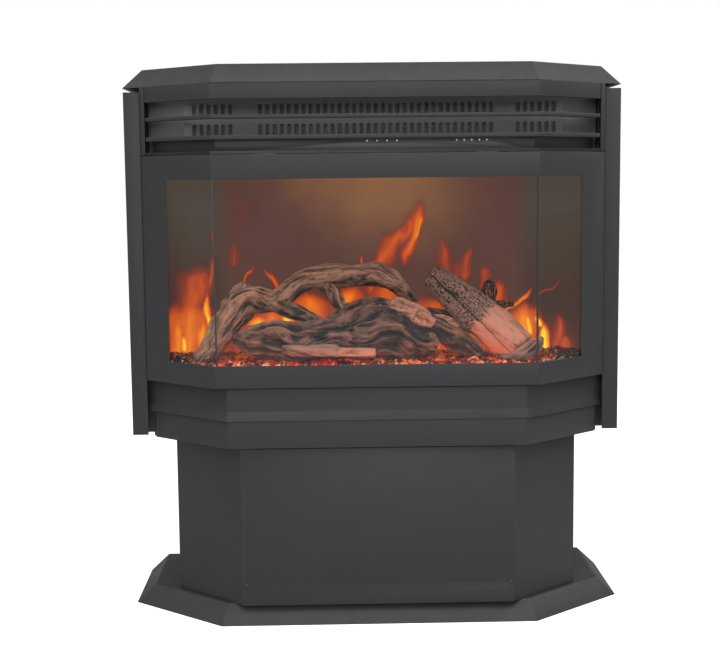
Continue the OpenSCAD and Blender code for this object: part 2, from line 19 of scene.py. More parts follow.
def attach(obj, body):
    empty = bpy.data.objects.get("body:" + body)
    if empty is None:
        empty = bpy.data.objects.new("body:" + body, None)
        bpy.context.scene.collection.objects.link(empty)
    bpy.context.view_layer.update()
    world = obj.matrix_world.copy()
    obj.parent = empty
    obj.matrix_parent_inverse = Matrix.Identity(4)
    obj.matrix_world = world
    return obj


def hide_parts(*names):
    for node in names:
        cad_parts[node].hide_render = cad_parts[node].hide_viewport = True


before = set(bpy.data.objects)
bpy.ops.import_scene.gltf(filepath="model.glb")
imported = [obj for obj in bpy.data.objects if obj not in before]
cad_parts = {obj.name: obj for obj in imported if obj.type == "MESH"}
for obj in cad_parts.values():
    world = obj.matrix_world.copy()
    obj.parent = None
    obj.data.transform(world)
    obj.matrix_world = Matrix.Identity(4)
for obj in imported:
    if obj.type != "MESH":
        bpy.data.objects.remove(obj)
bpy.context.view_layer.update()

LOG = logging.getLogger("fireplace")
MM = 0.001
BAY_SLOPE = math.tan(math.radians(40.5))
CASING, WINDOW, ROTOR, WHEEL, ROCKER = "casing", "window", "rotor", "wheel", "rocker"

Colour = tuple[float, float, float]
Array = np.ndarray


# ---------------------------------------------------------------- node helpers

class Tree:
    """A short way to add and link nodes in one node tree."""

    def __init__(self, tree: bpy.types.NodeTree) -> None:
        """Keeps the tree and starts with no nodes.

        Args:
            tree: The node tree to fill.
        """
        self.tree = tree
        self.tree.nodes.clear()

    def add(self, kind: str, values: Optional[dict] = None, **settings: object) -> bpy.types.Node:
        """Adds a node.

        Args:
            kind: The node's Blender type, such as ShaderNodeMath.
            values: Input name or number to a constant, or to an output socket to link.
            settings: Properties of the node itself.

        Returns:
            The new node.
        """
        node = self.tree.nodes.new(kind)
        for name, value in settings.items():
            setattr(node, name, value)
        for key, value in (values or {}).items():
            self.feed(node.inputs[key], value)
        return node

    def feed(self, socket: bpy.types.NodeSocket, value: object) -> None:
        """Sets a socket to a constant, or links an output to it."""
        if isinstance(value, bpy.types.NodeSocket):
            self.tree.links.new(value, socket)
        else:
            socket.default_value = value

    def math(self, operation: str, *values: object, clamp: bool = False) -> bpy.types.NodeSocket:
        """Adds a Math node and returns its output.

        Args:
            operation: The Math node's operation.
            values: Constants or sockets, in order.
            clamp: True to keep the result from 0 to 1.

        Returns:
            The output socket.
        """
        node = self.add("ShaderNodeMath", dict(enumerate(values)), operation=operation)
        node.use_clamp = clamp
        return node.outputs[0]

    def remap(self, value: object, low: float, high: float, to_low: float = 0.0, to_high: float = 1.0,
              smooth: bool = False) -> bpy.types.NodeSocket:
        """Maps a value from one range to another, held inside it.

        Args:
            value: The socket to map.
            low: Start of the source range.
            high: End of the source range.
            to_low: Result at the start.
            to_high: Result at the end.
            smooth: True for a smooth step in place of a straight line.

        Returns:
            The mapped value.
        """
        node = self.add("ShaderNodeMapRange", {"Value": value, "From Min": low, "From Max": high,
                                               "To Min": to_low, "To Max": to_high})
        node.interpolation_type = "SMOOTHSTEP" if smooth else "LINEAR"
        node.clamp = True
        return node.outputs["Result"]

    def mix(self, share: object, first: object, second: object, blend: str = "MIX") -> bpy.types.NodeSocket:
        """Mixes two colours and returns the result."""
        node = self.add("ShaderNodeMix", data_type="RGBA", blend_type=blend)
        self.feed(node.inputs["Factor"], share)
        self.feed(node.inputs[6], rgba(first))
        self.feed(node.inputs[7], rgba(second))
        return node.outputs[2]

    def noise(self, where: object, scale: float, detail: float = 3.0,
              rough: float = 0.5) -> bpy.types.NodeSocket:
        """Adds a Noise Texture and returns its value, from about 0.2 to 0.8."""
        node = self.add("ShaderNodeTexNoise", {"Vector": where, "Scale": scale, "Detail": detail,
                                               "Roughness": rough})
        return node.outputs[0]

    def ramp(self, value: object, stops: Sequence[tuple[float, Colour]]) -> bpy.types.NodeSocket:
        """Adds a colour ramp through the stops and returns its colour."""
        node = self.add("ShaderNodeValToRGB", {"Fac": value})
        band = node.color_ramp
        while len(band.elements) > 1:
            band.elements.remove(band.elements[0])
        band.elements[0].position = stops[0][0]
        band.elements[0].color = rgba(stops[0][1])
        for place, colour in stops[1:]:
            band.elements.new(place).color = rgba(colour)
        return node.outputs["Color"]


def rgba(colour: object) -> object:
    """Gives a three-part colour its alpha, and passes anything else through."""
    if isinstance(colour, bpy.types.NodeSocket) or len(colour) == 4:
        return colour
    return (*colour, 1.0)


def new_group(name: str, kind: str, inputs: dict[str, str], outputs: dict[str, str]) -> tuple[Tree, dict,
                                                                                              object]:
    """Makes an empty node group with named sockets.

    Args:
        name: The group's name.
        kind: ShaderNodeTree or GeometryNodeTree.
        inputs: Input name to socket type.
        outputs: Output name to socket type.

    Returns:
        The tree, its input sockets by name, and the output node.
    """
    group = bpy.data.node_groups.new(name, kind)
    for label, socket in inputs.items():
        group.interface.new_socket(label, in_out="INPUT", socket_type=socket)
    for label, socket in outputs.items():
        group.interface.new_socket(label, in_out="OUTPUT", socket_type=socket)
    tree = Tree(group)
    source = tree.add("NodeGroupInput")
    return tree, {label: source.outputs[label] for label in inputs}, tree.add("NodeGroupOutput")


class Effects:
    """Shader groups that several finishes share, each built once."""

    _built: dict[str, bpy.types.NodeTree] = {}

    @classmethod
    def use(cls, tree: Tree, name: str, values: dict) -> bpy.types.Node:
        """Places a shared group in a material.

        Args:
            tree: The material's tree.
            name: grain, mottle, wear or tongue.
            values: The group's inputs.

        Returns:
            The group node.
        """
        if name not in cls._built:
            cls._built[name] = getattr(cls, f"_{name}")()
        node = tree.tree.nodes.new("ShaderNodeGroup")
        node.node_tree = cls._built[name]
        for label, value in values.items():
            tree.feed(node.inputs[label], value)
        return node

    @staticmethod
    def _grain() -> bpy.types.NodeTree:
        """Fine raised grain, as of powder coat or moulded plastic."""
        tree, given, out = new_group("fine_grain", "ShaderNodeTree",
                                     {"Vector": "NodeSocketVector", "Scale": "NodeSocketFloat"},
                                     {"Height": "NodeSocketFloat", "Mask": "NodeSocketFloat"})
        cells = tree.add("ShaderNodeTexVoronoi", {"Vector": given["Vector"], "Scale": given["Scale"]},
                         feature="SMOOTH_F1")
        fine = tree.add("ShaderNodeTexNoise", {"Vector": given["Vector"], "Detail": 2.0})
        tree.feed(fine.inputs["Scale"], tree.math("MULTIPLY", given["Scale"], 2.3))
        height = tree.math("MULTIPLY_ADD", fine.outputs[0], 0.45,
                           tree.math("MULTIPLY", cells.outputs["Distance"], 0.8))
        tree.feed(out.inputs["Height"], height)
        tree.feed(out.inputs["Mask"], tree.remap(height, 0.25, 0.85))
        return tree.tree

    @staticmethod
    def _mottle() -> bpy.types.NodeTree:
        """Slow uneven tone across a panel, with a little settled dust on faces that look up."""
        tree, given, out = new_group("mottle_and_dust", "ShaderNodeTree",
                                     {"Vector": "NodeSocketVector", "Amount": "NodeSocketFloat",
                                      "Dust": "NodeSocketFloat"},
                                     {"Tone": "NodeSocketFloat", "Dust": "NodeSocketFloat"})
        broad = tree.noise(given["Vector"], 7.0, 4.0, 0.6)
        small = tree.noise(given["Vector"], 60.0, 3.0, 0.6)
        tone = tree.math("MULTIPLY_ADD", small, 0.4, tree.math("MULTIPLY", broad, 0.6))
        centred = tree.math("SUBTRACT", tone, 0.5)
        tree.feed(out.inputs["Tone"], tree.math("MULTIPLY_ADD", centred, given["Amount"], 1.0))
        normal = tree.add("ShaderNodeNewGeometry").outputs["Normal"]
        up = tree.add("ShaderNodeSeparateXYZ", {0: normal}).outputs[2]
        settled = tree.math("MULTIPLY", tree.remap(up, 0.3, 1.0), tree.remap(small, 0.35, 0.7))
        tree.feed(out.inputs["Dust"], tree.math("MULTIPLY", settled, given["Dust"]))
        return tree.tree

    @staticmethod
    def _wear() -> bpy.types.NodeTree:
        """Mask of a surface's edges, broken up by noise."""
        tree, given, out = new_group("edge_wear", "ShaderNodeTree",
                                     {"Vector": "NodeSocketVector", "Radius": "NodeSocketFloat"},
                                     {"Mask": "NodeSocketFloat"})
        rounded = tree.add("ShaderNodeBevel", {"Radius": given["Radius"]}, samples=4)
        true = tree.add("ShaderNodeNewGeometry").outputs["Normal"]
        same = tree.add("ShaderNodeVectorMath", {0: rounded.outputs[0], 1: true}, operation="DOT_PRODUCT")
        edge = tree.remap(same.outputs["Value"], 0.995, 0.80)
        broken = tree.remap(tree.noise(given["Vector"], 140.0, 4.0, 0.7), 0.4, 0.62)
        tree.feed(out.inputs["Mask"], tree.math("MULTIPLY", edge, broken))
        return tree.tree

    @staticmethod
    def _tongue() -> bpy.types.NodeTree:
        """Heat of one flame tongue that rises from a foot, leans and narrows to a tip."""
        names = ["X", "Z", "Foot X", "Foot Z", "Height", "Width", "Lean", "Curl", "Soft", "Heat"]
        tree, given, out = new_group("flame_tongue", "ShaderNodeTree",
                                     {n: "NodeSocketFloat" for n in names},
                                     {"Heat": "NodeSocketFloat"})
        rise = tree.math("DIVIDE", tree.math("SUBTRACT", given["Z"], given["Foot Z"]), given["Height"])
        held = tree.math("ADD", rise, 0.0, clamp=True)
        bend = tree.math("MULTIPLY", tree.math("SINE", tree.math("MULTIPLY", held, 5.2)), given["Curl"])
        centre = tree.math("ADD", tree.math("MULTIPLY_ADD", given["Lean"], held, given["Foot X"]), bend)
        belly = tree.math("MULTIPLY_ADD", tree.math("SINE", tree.math("MULTIPLY", held, math.pi)), 0.45,
                          0.12)
        slim = tree.math("MULTIPLY_ADD", tree.math("SUBTRACT", 1.0, held), 0.75, belly)
        reach = tree.math("MAXIMUM", tree.math("MULTIPLY", slim, given["Width"]), 0.0006)
        away = tree.math("DIVIDE", tree.math("ABSOLUTE", tree.math("SUBTRACT", given["X"], centre)), reach)
        body = tree.math("POWER", tree.math("SUBTRACT", 1.0, away, clamp=True), given["Soft"])
        foot = tree.remap(rise, -0.25, 0.12, smooth=True)
        tip = tree.remap(rise, 1.0, 0.45, smooth=True)
        shape = tree.math("MULTIPLY", body, tree.math("MULTIPLY", foot, tip))
        tree.feed(out.inputs["Heat"], tree.math("MULTIPLY", shape, given["Heat"]))
        return tree.tree


# ---------------------------------------------------------------- finishes

@dataclass(frozen=True)
class Finish:
    """A surface finish. Subclasses fill its node tree."""

    name: str
    slot: str

    def material(self) -> bpy.types.Material:
        """Builds the material once and returns it.

        Returns:
            The finished material.
        """
        label = f"{self.name}_finish"
        found = bpy.data.materials.get(label)
        if found is not None:
            return found
        made = bpy.data.materials.new(label)
        made.use_nodes = True
        tree = Tree(made.node_tree)
        place = tree.add("ShaderNodeTexCoord").outputs["Object"]
        surface = self.fill(tree, place)
        out = tree.add("ShaderNodeOutputMaterial")
        tree.feed(out.inputs["Surface"], surface)
        return made

    def fill(self, tree: Tree, place: bpy.types.NodeSocket) -> bpy.types.NodeSocket:
        """Adds the finish's nodes and returns the shader's output."""
        raise NotImplementedError


@dataclass(frozen=True)
class PowderCoat(Finish):
    """Matt textured powder coat on folded sheet."""

    colour: Colour = (0.0190, 0.0197, 0.0208)
    edge_colour: Colour = (0.05, 0.05, 0.052)
    dust_colour: Colour = (0.16, 0.155, 0.15)
    roughness: float = 0.52
    grain_per_m: float = 900.0
    dust: float = 0.06

    def fill(self, tree: Tree, place: bpy.types.NodeSocket) -> bpy.types.NodeSocket:
        """Adds the coat's nodes and returns the shader's output."""
        grain = Effects.use(tree, "grain", {"Vector": place, "Scale": self.grain_per_m})
        mottle = Effects.use(tree, "mottle", {"Vector": place, "Amount": 0.35, "Dust": self.dust})
        wear = Effects.use(tree, "wear", {"Vector": place, "Radius": 0.0012})
        tone = tree.add("ShaderNodeVectorMath", {0: self.colour, "Scale": mottle.outputs["Tone"]},
                        operation="SCALE")
        worn = tree.mix(tree.math("MULTIPLY", wear.outputs["Mask"], 0.5), tone.outputs[0], self.edge_colour)
        dusty = tree.mix(mottle.outputs["Dust"], worn, self.dust_colour)
        rough = tree.math("MULTIPLY_ADD", grain.outputs["Mask"], 0.10, self.roughness)
        bump = tree.add("ShaderNodeBump", {"Height": grain.outputs["Height"], "Strength": 0.22,
                                           "Distance": 0.00025})
        shader = tree.add("ShaderNodeBsdfPrincipled", {"Base Color": dusty, "Roughness": rough,
                                                       "Normal": bump.outputs[0],
                                                       "Specular IOR Level": 0.35})
        return shader.outputs[0]


@dataclass(frozen=True)
class BareMetal(Finish):
    """Bare sheet or machined metal, brushed or spangled."""

    colour: Colour = (0.56, 0.57, 0.58)
    roughness: float = 0.38
    stretch: tuple[float, float, float] = (1.0, 1.0, 1.0)
    pattern_per_m: float = 90.0
    contrast: float = 0.25

    def fill(self, tree: Tree, place: bpy.types.NodeSocket) -> bpy.types.NodeSocket:
        """Adds the metal's nodes and returns the shader's output."""
        long = tree.add("ShaderNodeMapping", {"Vector": place, "Scale": self.stretch}).outputs[0]
        flakes = tree.add("ShaderNodeTexVoronoi", {"Vector": long, "Scale": self.pattern_per_m})
        streak = tree.noise(long, self.pattern_per_m * 4.0, 4.0, 0.6)
        tone = tree.math("MULTIPLY_ADD", flakes.outputs["Color"], self.contrast, 1.0 - self.contrast / 2.0)
        colour = tree.add("ShaderNodeVectorMath", {0: self.colour, "Scale": tone},
                          operation="SCALE").outputs[0]
        rough = tree.math("MULTIPLY_ADD", streak, 0.16, self.roughness - 0.08)
        bump = tree.add("ShaderNodeBump", {"Height": streak, "Strength": 0.12, "Distance": 0.0002})
        shader = tree.add("ShaderNodeBsdfPrincipled",
                          {"Base Color": colour, "Roughness": rough, "Metallic": 1.0,
                                                       "Normal": bump.outputs[0]})
        return shader.outputs[0]


@dataclass(frozen=True)
class Plastic(Finish):
    """Moulded plastic, varnished board or silicone."""

    colour: Colour = (0.02, 0.02, 0.021)
    roughness: float = 0.42
    grain_per_m: float = 1400.0
    bump: float = 0.12
    fleck: Optional[Colour] = None

    def fill(self, tree: Tree, place: bpy.types.NodeSocket) -> bpy.types.NodeSocket:
        """Adds the plastic's nodes and returns the shader's output."""
        grain = Effects.use(tree, "grain", {"Vector": place, "Scale": self.grain_per_m})
        mottle = Effects.use(tree, "mottle", {"Vector": place, "Amount": 0.25, "Dust": 0.03})
        colour = tree.add("ShaderNodeVectorMath", {0: self.colour, "Scale": mottle.outputs["Tone"]},
                          operation="SCALE").outputs[0]
        if self.fleck is not None:
            tracks = tree.add("ShaderNodeTexBrick", {"Vector": place, "Scale": 260.0, "Mortar Size": 0.08})
            colour = tree.mix(tree.math("MULTIPLY", tracks.outputs["Fac"], 0.7), colour, self.fleck)
        rough = tree.math("MULTIPLY_ADD", grain.outputs["Mask"], 0.12, self.roughness)
        bump = tree.add("ShaderNodeBump", {"Height": grain.outputs["Height"], "Strength": self.bump,
                                           "Distance": 0.0002})
        shader = tree.add("ShaderNodeBsdfPrincipled", {"Base Color": colour, "Roughness": rough,
                                                       "Normal": bump.outputs[0]})
        return shader.outputs[0]


@dataclass(frozen=True)
class ClearGlass(Finish):
    """Clear flat glass with a faint film. Outer faces mirror dimly, and more so at shallow angles."""

    film: float = 0.014
    reflection: float = 1.45
    tint: Colour = (0.40, 0.41, 0.41)

    def fill(self, tree: Tree, place: bpy.types.NodeSocket) -> bpy.types.NodeSocket:
        """Adds the glass's nodes and returns the shader's output."""
        outer = tree.math("SUBTRACT", 1.0, tree.add("ShaderNodeNewGeometry").outputs["Backfacing"])
        facing = tree.math("MULTIPLY", outer, self.reflection)
        reflected = tree.math("MULTIPLY", tree.add("ShaderNodeFresnel", {"IOR": 1.45}).outputs[0], facing)
        smear = tree.remap(tree.noise(place, 11.0, 4.0, 0.65), 0.42, 0.72, 0.0, self.film)
        seen = tree.math("ADD", reflected, smear, clamp=True)
        shader = tree.add("ShaderNodeBsdfPrincipled", {"Base Color": rgba(self.tint), "Roughness": 0.02,
                                                       "Metallic": 1.0, "Alpha": seen})
        return shader.outputs[0]


@dataclass(frozen=True)
class Tongue:
    """One flame tongue on the screen, in millimetres on the screen's face."""

    foot_x: float
    foot_z: float
    height: float
    width: float
    lean: float = 0.0
    curl: float = 0.0
    heat: float = 0.5
    soft: float = 1.0


FLAMES: tuple[Tongue, ...] = (
    # end of the screen on the left
    Tongue(-276, 352, 128, 46, 8, 3, 0.66, 0.45), Tongue(-292, 360, 70, 20, 4, 3, 0.74, 0.6),
    Tongue(-280, 368, 30, 12, 0, 0, 1.10, 0.9), Tongue(-246, 366, 60, 22, -6, -3, 0.80, 0.6),
    Tongue(-226, 388, 84, 8, -34, -6, 1.00, 0.8), Tongue(-270, 430, 84, 36, 2, 5, 0.46, 0.5),
    Tongue(-246, 458, 60, 12, 2, 3, 0.44, 0.8), Tongue(-248, 486, 86, 7, 14, 5, 0.36, 1.0),
    Tongue(-205, 490, 52, 13, 8, 2, 0.34, 0.45), Tongue(-202, 540, 80, 34, 20, 6, 0.24, 1.0),
    # thin streaks behind the root log
    Tongue(-194, 448, 66, 5, 30, 0, 0.50, 0.8), Tongue(-132, 440, 72, 6, -36, 0, 0.50, 0.8),
    # glow under and between the logs
    Tongue(-176, 386, 44, 22, 10, 0, 1.00, 0.7), Tongue(-132, 396, 40, 16, 16, 0, 0.96, 0.7),
    Tongue(-150, 380, 70, 60, 0, 0, 0.56, 0.5), Tongue(-92, 398, 74, 44, -4, 4, 0.60, 0.5),
    Tongue(-36, 404, 80, 34, 8, -4, 0.68, 0.55), Tongue(20, 410, 84, 44, 4, 3, 0.52, 0.55),
    Tongue(-19, 484, 30, 5, 0, 0, 0.55, 0.8),
    # the tall flame in the middle
    Tongue(-6, 452, 168, 19, 86, -5, 0.50, 0.42), Tongue(20, 516, 70, 10, 42, 3, 0.50, 0.6),
    Tongue(44, 496, 118, 17, 30, 2, 0.60, 0.5), Tongue(60, 530, 50, 8, 8, 2, 0.74, 0.7),
    Tongue(101, 474, 74, 15, 0, 3, 0.38, 0.45), Tongue(134, 468, 62, 16, 6, -3, 0.42, 0.45),
    Tongue(117, 470, 40, 26, 0, 2, 0.34, 0.8),
    Tongue(88, 352, 46, 16, -6, 0, 1.02, 0.7), Tongue(84, 396, 66, 44, 0, 2, 0.50, 0.5),
    Tongue(162, 450, 48, 13, 8, 2, 0.40, 0.5),
    # behind the right end of the split log
    Tongue(184, 416, 70, 20, 6, 3, 0.52, 0.7), Tongue(192, 418, 50, 8, 62, 3, 0.64, 0.7),
    Tongue(214, 368, 86, 34, 18, 3, 0.72, 0.55), Tongue(232, 388, 36, 12, -8, 0, 1.02, 0.8),
    Tongue(250, 396, 20, 9, -12, 0, 1.00, 0.8), Tongue(255, 360, 50, 9, 0, 0, 1.12, 0.5),
    Tongue(270, 362, 76, 16, 8, 2, 0.46, 0.7), Tongue(284, 356, 40, 26, 0, 0, 0.46, 0.7),
    Tongue(240, 436, 54, 6, 60, 2, 0.36, 0.9),
)


@dataclass(frozen=True)
class FlameGlow(Finish):
    """Smoked acrylic with soft flames thrown on it from behind."""

    tongues: tuple[Tongue, ...] = FLAMES
    strength: float = 1.0

    def fill(self, tree: Tree, place: bpy.types.NodeSocket) -> bpy.types.NodeSocket:
        """Adds the screen's nodes and returns the shader's output."""
        parts = tree.add("ShaderNodeSeparateXYZ", {0: place}).outputs
        x, z = self._stirred(tree, place, parts[0], parts[2])
        heat: object = self._bed_glow(tree, place, parts[0], parts[2])
        for one in self.tongues:
            node = Effects.use(tree, "tongue", {
                "X": x, "Z": z, "Foot X": one.foot_x * MM, "Foot Z": one.foot_z * MM,
                "Height": one.height * MM,
                "Width": one.width * MM, "Lean": one.lean * MM, "Curl": one.curl * MM, "Soft": one.soft,
                "Heat": one.heat})
            heat = tree.add("ShaderNodeMath", {0: heat, 1: node.outputs[0], 2: 0.10},
                            operation="SMOOTH_MAX").outputs[0]
        drawn = tree.add("ShaderNodeMapping", {"Vector": place, "Scale": (1.0, 1.0, 0.28)}).outputs[0]
        streaks = tree.remap(tree.noise(drawn, 62.0, 3.0, 0.6), 0.30, 0.70, 0.84, 1.12)
        heat = tree.math("MULTIPLY", heat, streaks)
        flame = tree.ramp(heat, [(0.0, (0.030, 0.006, 0.005)), (0.16, (0.085, 0.013, 0.008)),
                                 (0.32, (0.30, 0.032, 0.012)),
                                 (0.50, (0.66, 0.095, 0.008)), (0.68, (0.90, 0.24, 0.008)),
                                 (0.84, (1.0, 0.44, 0.012)),
                                 (1.0, (1.0, 0.70, 0.05))])
        haze = self._haze(tree, place, parts[0], parts[2])
        light = tree.mix(tree.remap(heat, 0.05, 0.46, smooth=True), haze, flame)
        shader = tree.add("ShaderNodeBsdfPrincipled",
                          {"Base Color": rgba((0.008, 0.006, 0.005)), "Roughness": 0.5,
                                                       "Specular IOR Level": 0.12,
                                                       "Emission Color": light,
                           "Emission Strength": self.strength})
        return shader.outputs[0]

    @staticmethod
    def _stirred(tree: Tree, place: object, x: object, z: object) -> tuple[object, object]:
        """Moves the pattern's place sideways and up by noise that grows with height, as hot air does."""
        tall = tree.add("ShaderNodeMapping", {"Vector": place, "Scale": (1.0, 1.0, 0.55)}).outputs[0]
        wide = tree.add("ShaderNodeTexNoise", {"Vector": tall, "Scale": 15.0, "Detail": 2.0})
        fine = tree.add("ShaderNodeTexNoise", {"Vector": tall, "Scale": 48.0, "Detail": 3.0})
        slow = tree.add("ShaderNodeSeparateXYZ", {0: wide.outputs["Color"]}).outputs
        quick = tree.add("ShaderNodeSeparateXYZ", {0: fine.outputs["Color"]}).outputs
        grow = tree.remap(z, 0.36, 0.56, 0.35, 1.0)
        side = tree.math("MULTIPLY_ADD", tree.math("SUBTRACT", slow[0], 0.5), 0.050,
                         tree.math("MULTIPLY", tree.math("SUBTRACT", quick[0], 0.5), 0.020))
        up = tree.math("MULTIPLY_ADD", tree.math("SUBTRACT", slow[1], 0.5), 0.040,
                       tree.math("MULTIPLY", tree.math("SUBTRACT", quick[1], 0.5), 0.026))
        return (tree.math("MULTIPLY_ADD", side, grow, x), tree.math("MULTIPLY_ADD", up, grow, z))

    @staticmethod
    def _bed_glow(tree: Tree, place: object, x: object, z: object) -> bpy.types.NodeSocket:
        """Red heat low down over the whole screen, strongest in the middle."""
        low = tree.remap(z, 0.47, 0.37, 0.0, 0.46, smooth=True)
        middle = tree.remap(tree.math("ABSOLUTE", x), 0.20, 0.31, 1.0, 0.45, smooth=True)
        uneven = tree.remap(tree.noise(place, 26.0, 3.0, 0.6), 0.3, 0.7, 0.7, 1.1)
        return tree.math("MULTIPLY", tree.math("MULTIPLY", low, middle), uneven)

    @staticmethod
    def _haze(tree: Tree, place: object, x: object, z: object) -> bpy.types.NodeSocket:
        """Dim smoky light behind the flames: tan at the top middle, red-brown lower, olive at the ends."""
        from_middle = tree.math("DIVIDE", tree.math("ABSOLUTE", tree.math("SUBTRACT", x, 0.012)), 0.155)
        from_top = tree.math("DIVIDE", tree.math("SUBTRACT", 0.625, z), 0.115)
        reach = tree.math("SQRT", tree.math("ADD", tree.math("MULTIPLY", from_middle, from_middle),
                                            tree.math("MULTIPLY", from_top, from_top)))
        wavy = tree.math("MULTIPLY_ADD", tree.math("SUBTRACT", tree.noise(place, 9.0, 3.0, 0.6), 0.5), 0.9,
                         reach)
        core = tree.remap(wavy, 1.25, 0.0, smooth=True)
        smoke = tree.mix(core, (0.096, 0.039, 0.030), (0.255, 0.112, 0.045))
        ends = tree.remap(tree.math("ABSOLUTE", x), 0.205, 0.235, smooth=True)
        olive = tree.mix(tree.remap(z, 0.44, 0.58, smooth=True), (0.058, 0.030, 0.022),
                         (0.064, 0.050, 0.036))
        return tree.mix(ends, smoke, olive)


@dataclass(frozen=True)
class CrystalGlass(Finish):
    """Crushed red and amber glass lit from below. Each chip carries its own tint, and towards the ends of the
    bed the base colour is darkened as painted shade.
    """

    strength: float = 1.5

    def fill(self, tree: Tree, place: bpy.types.NodeSocket) -> bpy.types.NodeSocket:
        """Adds the crystal's nodes and returns the shader's output."""
        tint = tree.add("ShaderNodeAttribute", attribute_name="tint").outputs["Fac"]
        x = tree.add("ShaderNodeSeparateXYZ", {0: place}).outputs[0]
        y = tree.add("ShaderNodeSeparateXYZ", {0: place}).outputs[1]
        lit = tree.remap(tree.math("ABSOLUTE", x), 0.195, 0.275, 1.0, 0.06, smooth=True)
        patch = tree.remap(tree.noise(place, 30.0, 2.0, 0.5), 0.36, 0.62, 0.25, 1.0)
        front = tree.remap(y, -0.02, -0.10, 0.35, 1.0, smooth=True)
        glow = tree.math("MULTIPLY", tree.math("MULTIPLY", lit, patch), front)
        body = tree.ramp(tint, [(0.0, (0.016, 0.003, 0.002)), (0.35, (0.10, 0.006, 0.003)),
                                (0.7, (0.24, 0.016, 0.006)),
                                (1.0, (0.34, 0.07, 0.026))])
        hot = tree.ramp(tint, [(0.0, (0.01, 0.0, 0.0)), (0.38, (0.07, 0.003, 0.001)),
                               (0.66, (0.62, 0.026, 0.006)),
                               (0.86, (0.95, 0.10, 0.012)), (1.0, (1.0, 0.30, 0.035))])
        normal = tree.add("ShaderNodeNewGeometry").outputs["Normal"]
        down = tree.add("ShaderNodeSeparateXYZ", {0: normal}).outputs[2]
        inside = tree.math("MULTIPLY", glow, tree.remap(down, -0.4, 0.9, 1.0, 0.30))
        light = tree.mix(inside, (0.006, 0.001, 0.0), hot)
        # Base colour darkens with the glow towards the ends of the bed: painted shade where the lamp under
        # the bed does not reach.
        body_with_painted_shade = tree.mix(lit, (0.012, 0.007, 0.006), body)
        rough = tree.remap(tree.noise(place, 160.0, 2.0, 0.5), 0.3, 0.7, 0.02, 0.10)
        shader = tree.add("ShaderNodeBsdfPrincipled", {"Base Color": body_with_painted_shade, "Roughness": rough, "IOR": 1.5,
                                                       "Coat Weight": 0.6, "Emission Color": light,
                                                       "Emission Strength": self.strength})
        return shader.outputs[0]


@dataclass(frozen=True)
class CastLog(Finish):
    """Painted cast log. Vertex attributes give its bark, bare wood, charring and near-black underside, and
    height of relief. Crests are coloured lighter and hollows darker: partly the log's own paint, partly
    painted highlight and painted shade.
    """

    bark_high: Colour = (0.27, 0.145, 0.105)
    bark_low: Colour = (0.028, 0.018, 0.014)
    wood: Colour = (0.45, 0.186, 0.118)
    wood_dark: Colour = (0.22, 0.078, 0.050)
    char_and_underside: Colour = (0.012, 0.010, 0.0095)
    fibre_per_m: float = 420.0
    hollow: float = 0.16
    crest: float = 0.84

    def fill(self, tree: Tree, place: bpy.types.NodeSocket) -> bpy.types.NodeSocket:
        """Adds the paint's nodes and returns the shader's output."""
        bare, char_and_underside, ridge = (tree.add("ShaderNodeAttribute", attribute_name=name).outputs["Fac"]
                             for name in ("bare", "char_and_underside", "ridge"))
        blotch = tree.noise(place, 55.0, 4.0, 0.65)
        speck = tree.noise(place, self.fibre_per_m, 3.0, 0.7)
        raised = tree.math("ADD", tree.math("MULTIPLY_ADD", tree.math("SUBTRACT", blotch, 0.5), 0.55,
                                            ridge),
                           tree.math("MULTIPLY", tree.math("SUBTRACT", speck, 0.5), 0.45))
        # Crests take the light bark and wood colours and hollows the dark ones, and charring is heavier in
        # the hollows: partly the log's own paint, partly painted highlight on the crests and painted shade in
        # the hollows.
        height = tree.remap(raised, self.hollow, self.crest, smooth=True)
        bark = tree.mix(height, self.bark_low, self.bark_high)
        wood = tree.mix(tree.remap(height, 0.15, 0.75), self.wood_dark, self.wood)
        plain = tree.mix(bare, bark, wood)
        char_heavier_in_hollows = tree.math("MULTIPLY", char_and_underside, tree.remap(height, 0.95, 0.25, 0.45, 1.0))
        colour = tree.mix(char_heavier_in_hollows, plain, self.char_and_underside)
        bump = tree.add("ShaderNodeBump", {"Height": tree.math("ADD", speck,
                                                               tree.math("MULTIPLY", blotch, 0.6)),
                                           "Strength": 0.55, "Distance": 0.0012})
        rough = tree.remap(speck, 0.3, 0.7, 0.66, 0.92)
        shader = tree.add("ShaderNodeBsdfPrincipled", {"Base Color": colour, "Roughness": rough,
                                                       "Normal": bump.outputs[0],
                                                       "Specular IOR Level": 0.3})
        return shader.outputs[0]


@dataclass(frozen=True)
class LampGlow(Finish):
    """Small lit mark."""

    colour: Colour = (0.75, 0.80, 0.85)
    strength: float = 0.35

    def fill(self, tree: Tree, place: bpy.types.NodeSocket) -> bpy.types.NodeSocket:
        """Adds the mark's nodes and returns the shader's output."""
        soft = tree.remap(tree.noise(place, 900.0, 1.0, 0.5), 0.3, 0.7, 0.75, 1.0)
        light = tree.add("ShaderNodeVectorMath", {0: self.colour, "Scale": soft},
                         operation="SCALE").outputs[0]
        shader = tree.add("ShaderNodeBsdfPrincipled", {"Base Color": rgba(self.colour), "Roughness": 0.3,
                                                       "Emission Color": light,
                                                       "Emission Strength": self.strength})
        return shader.outputs[0]


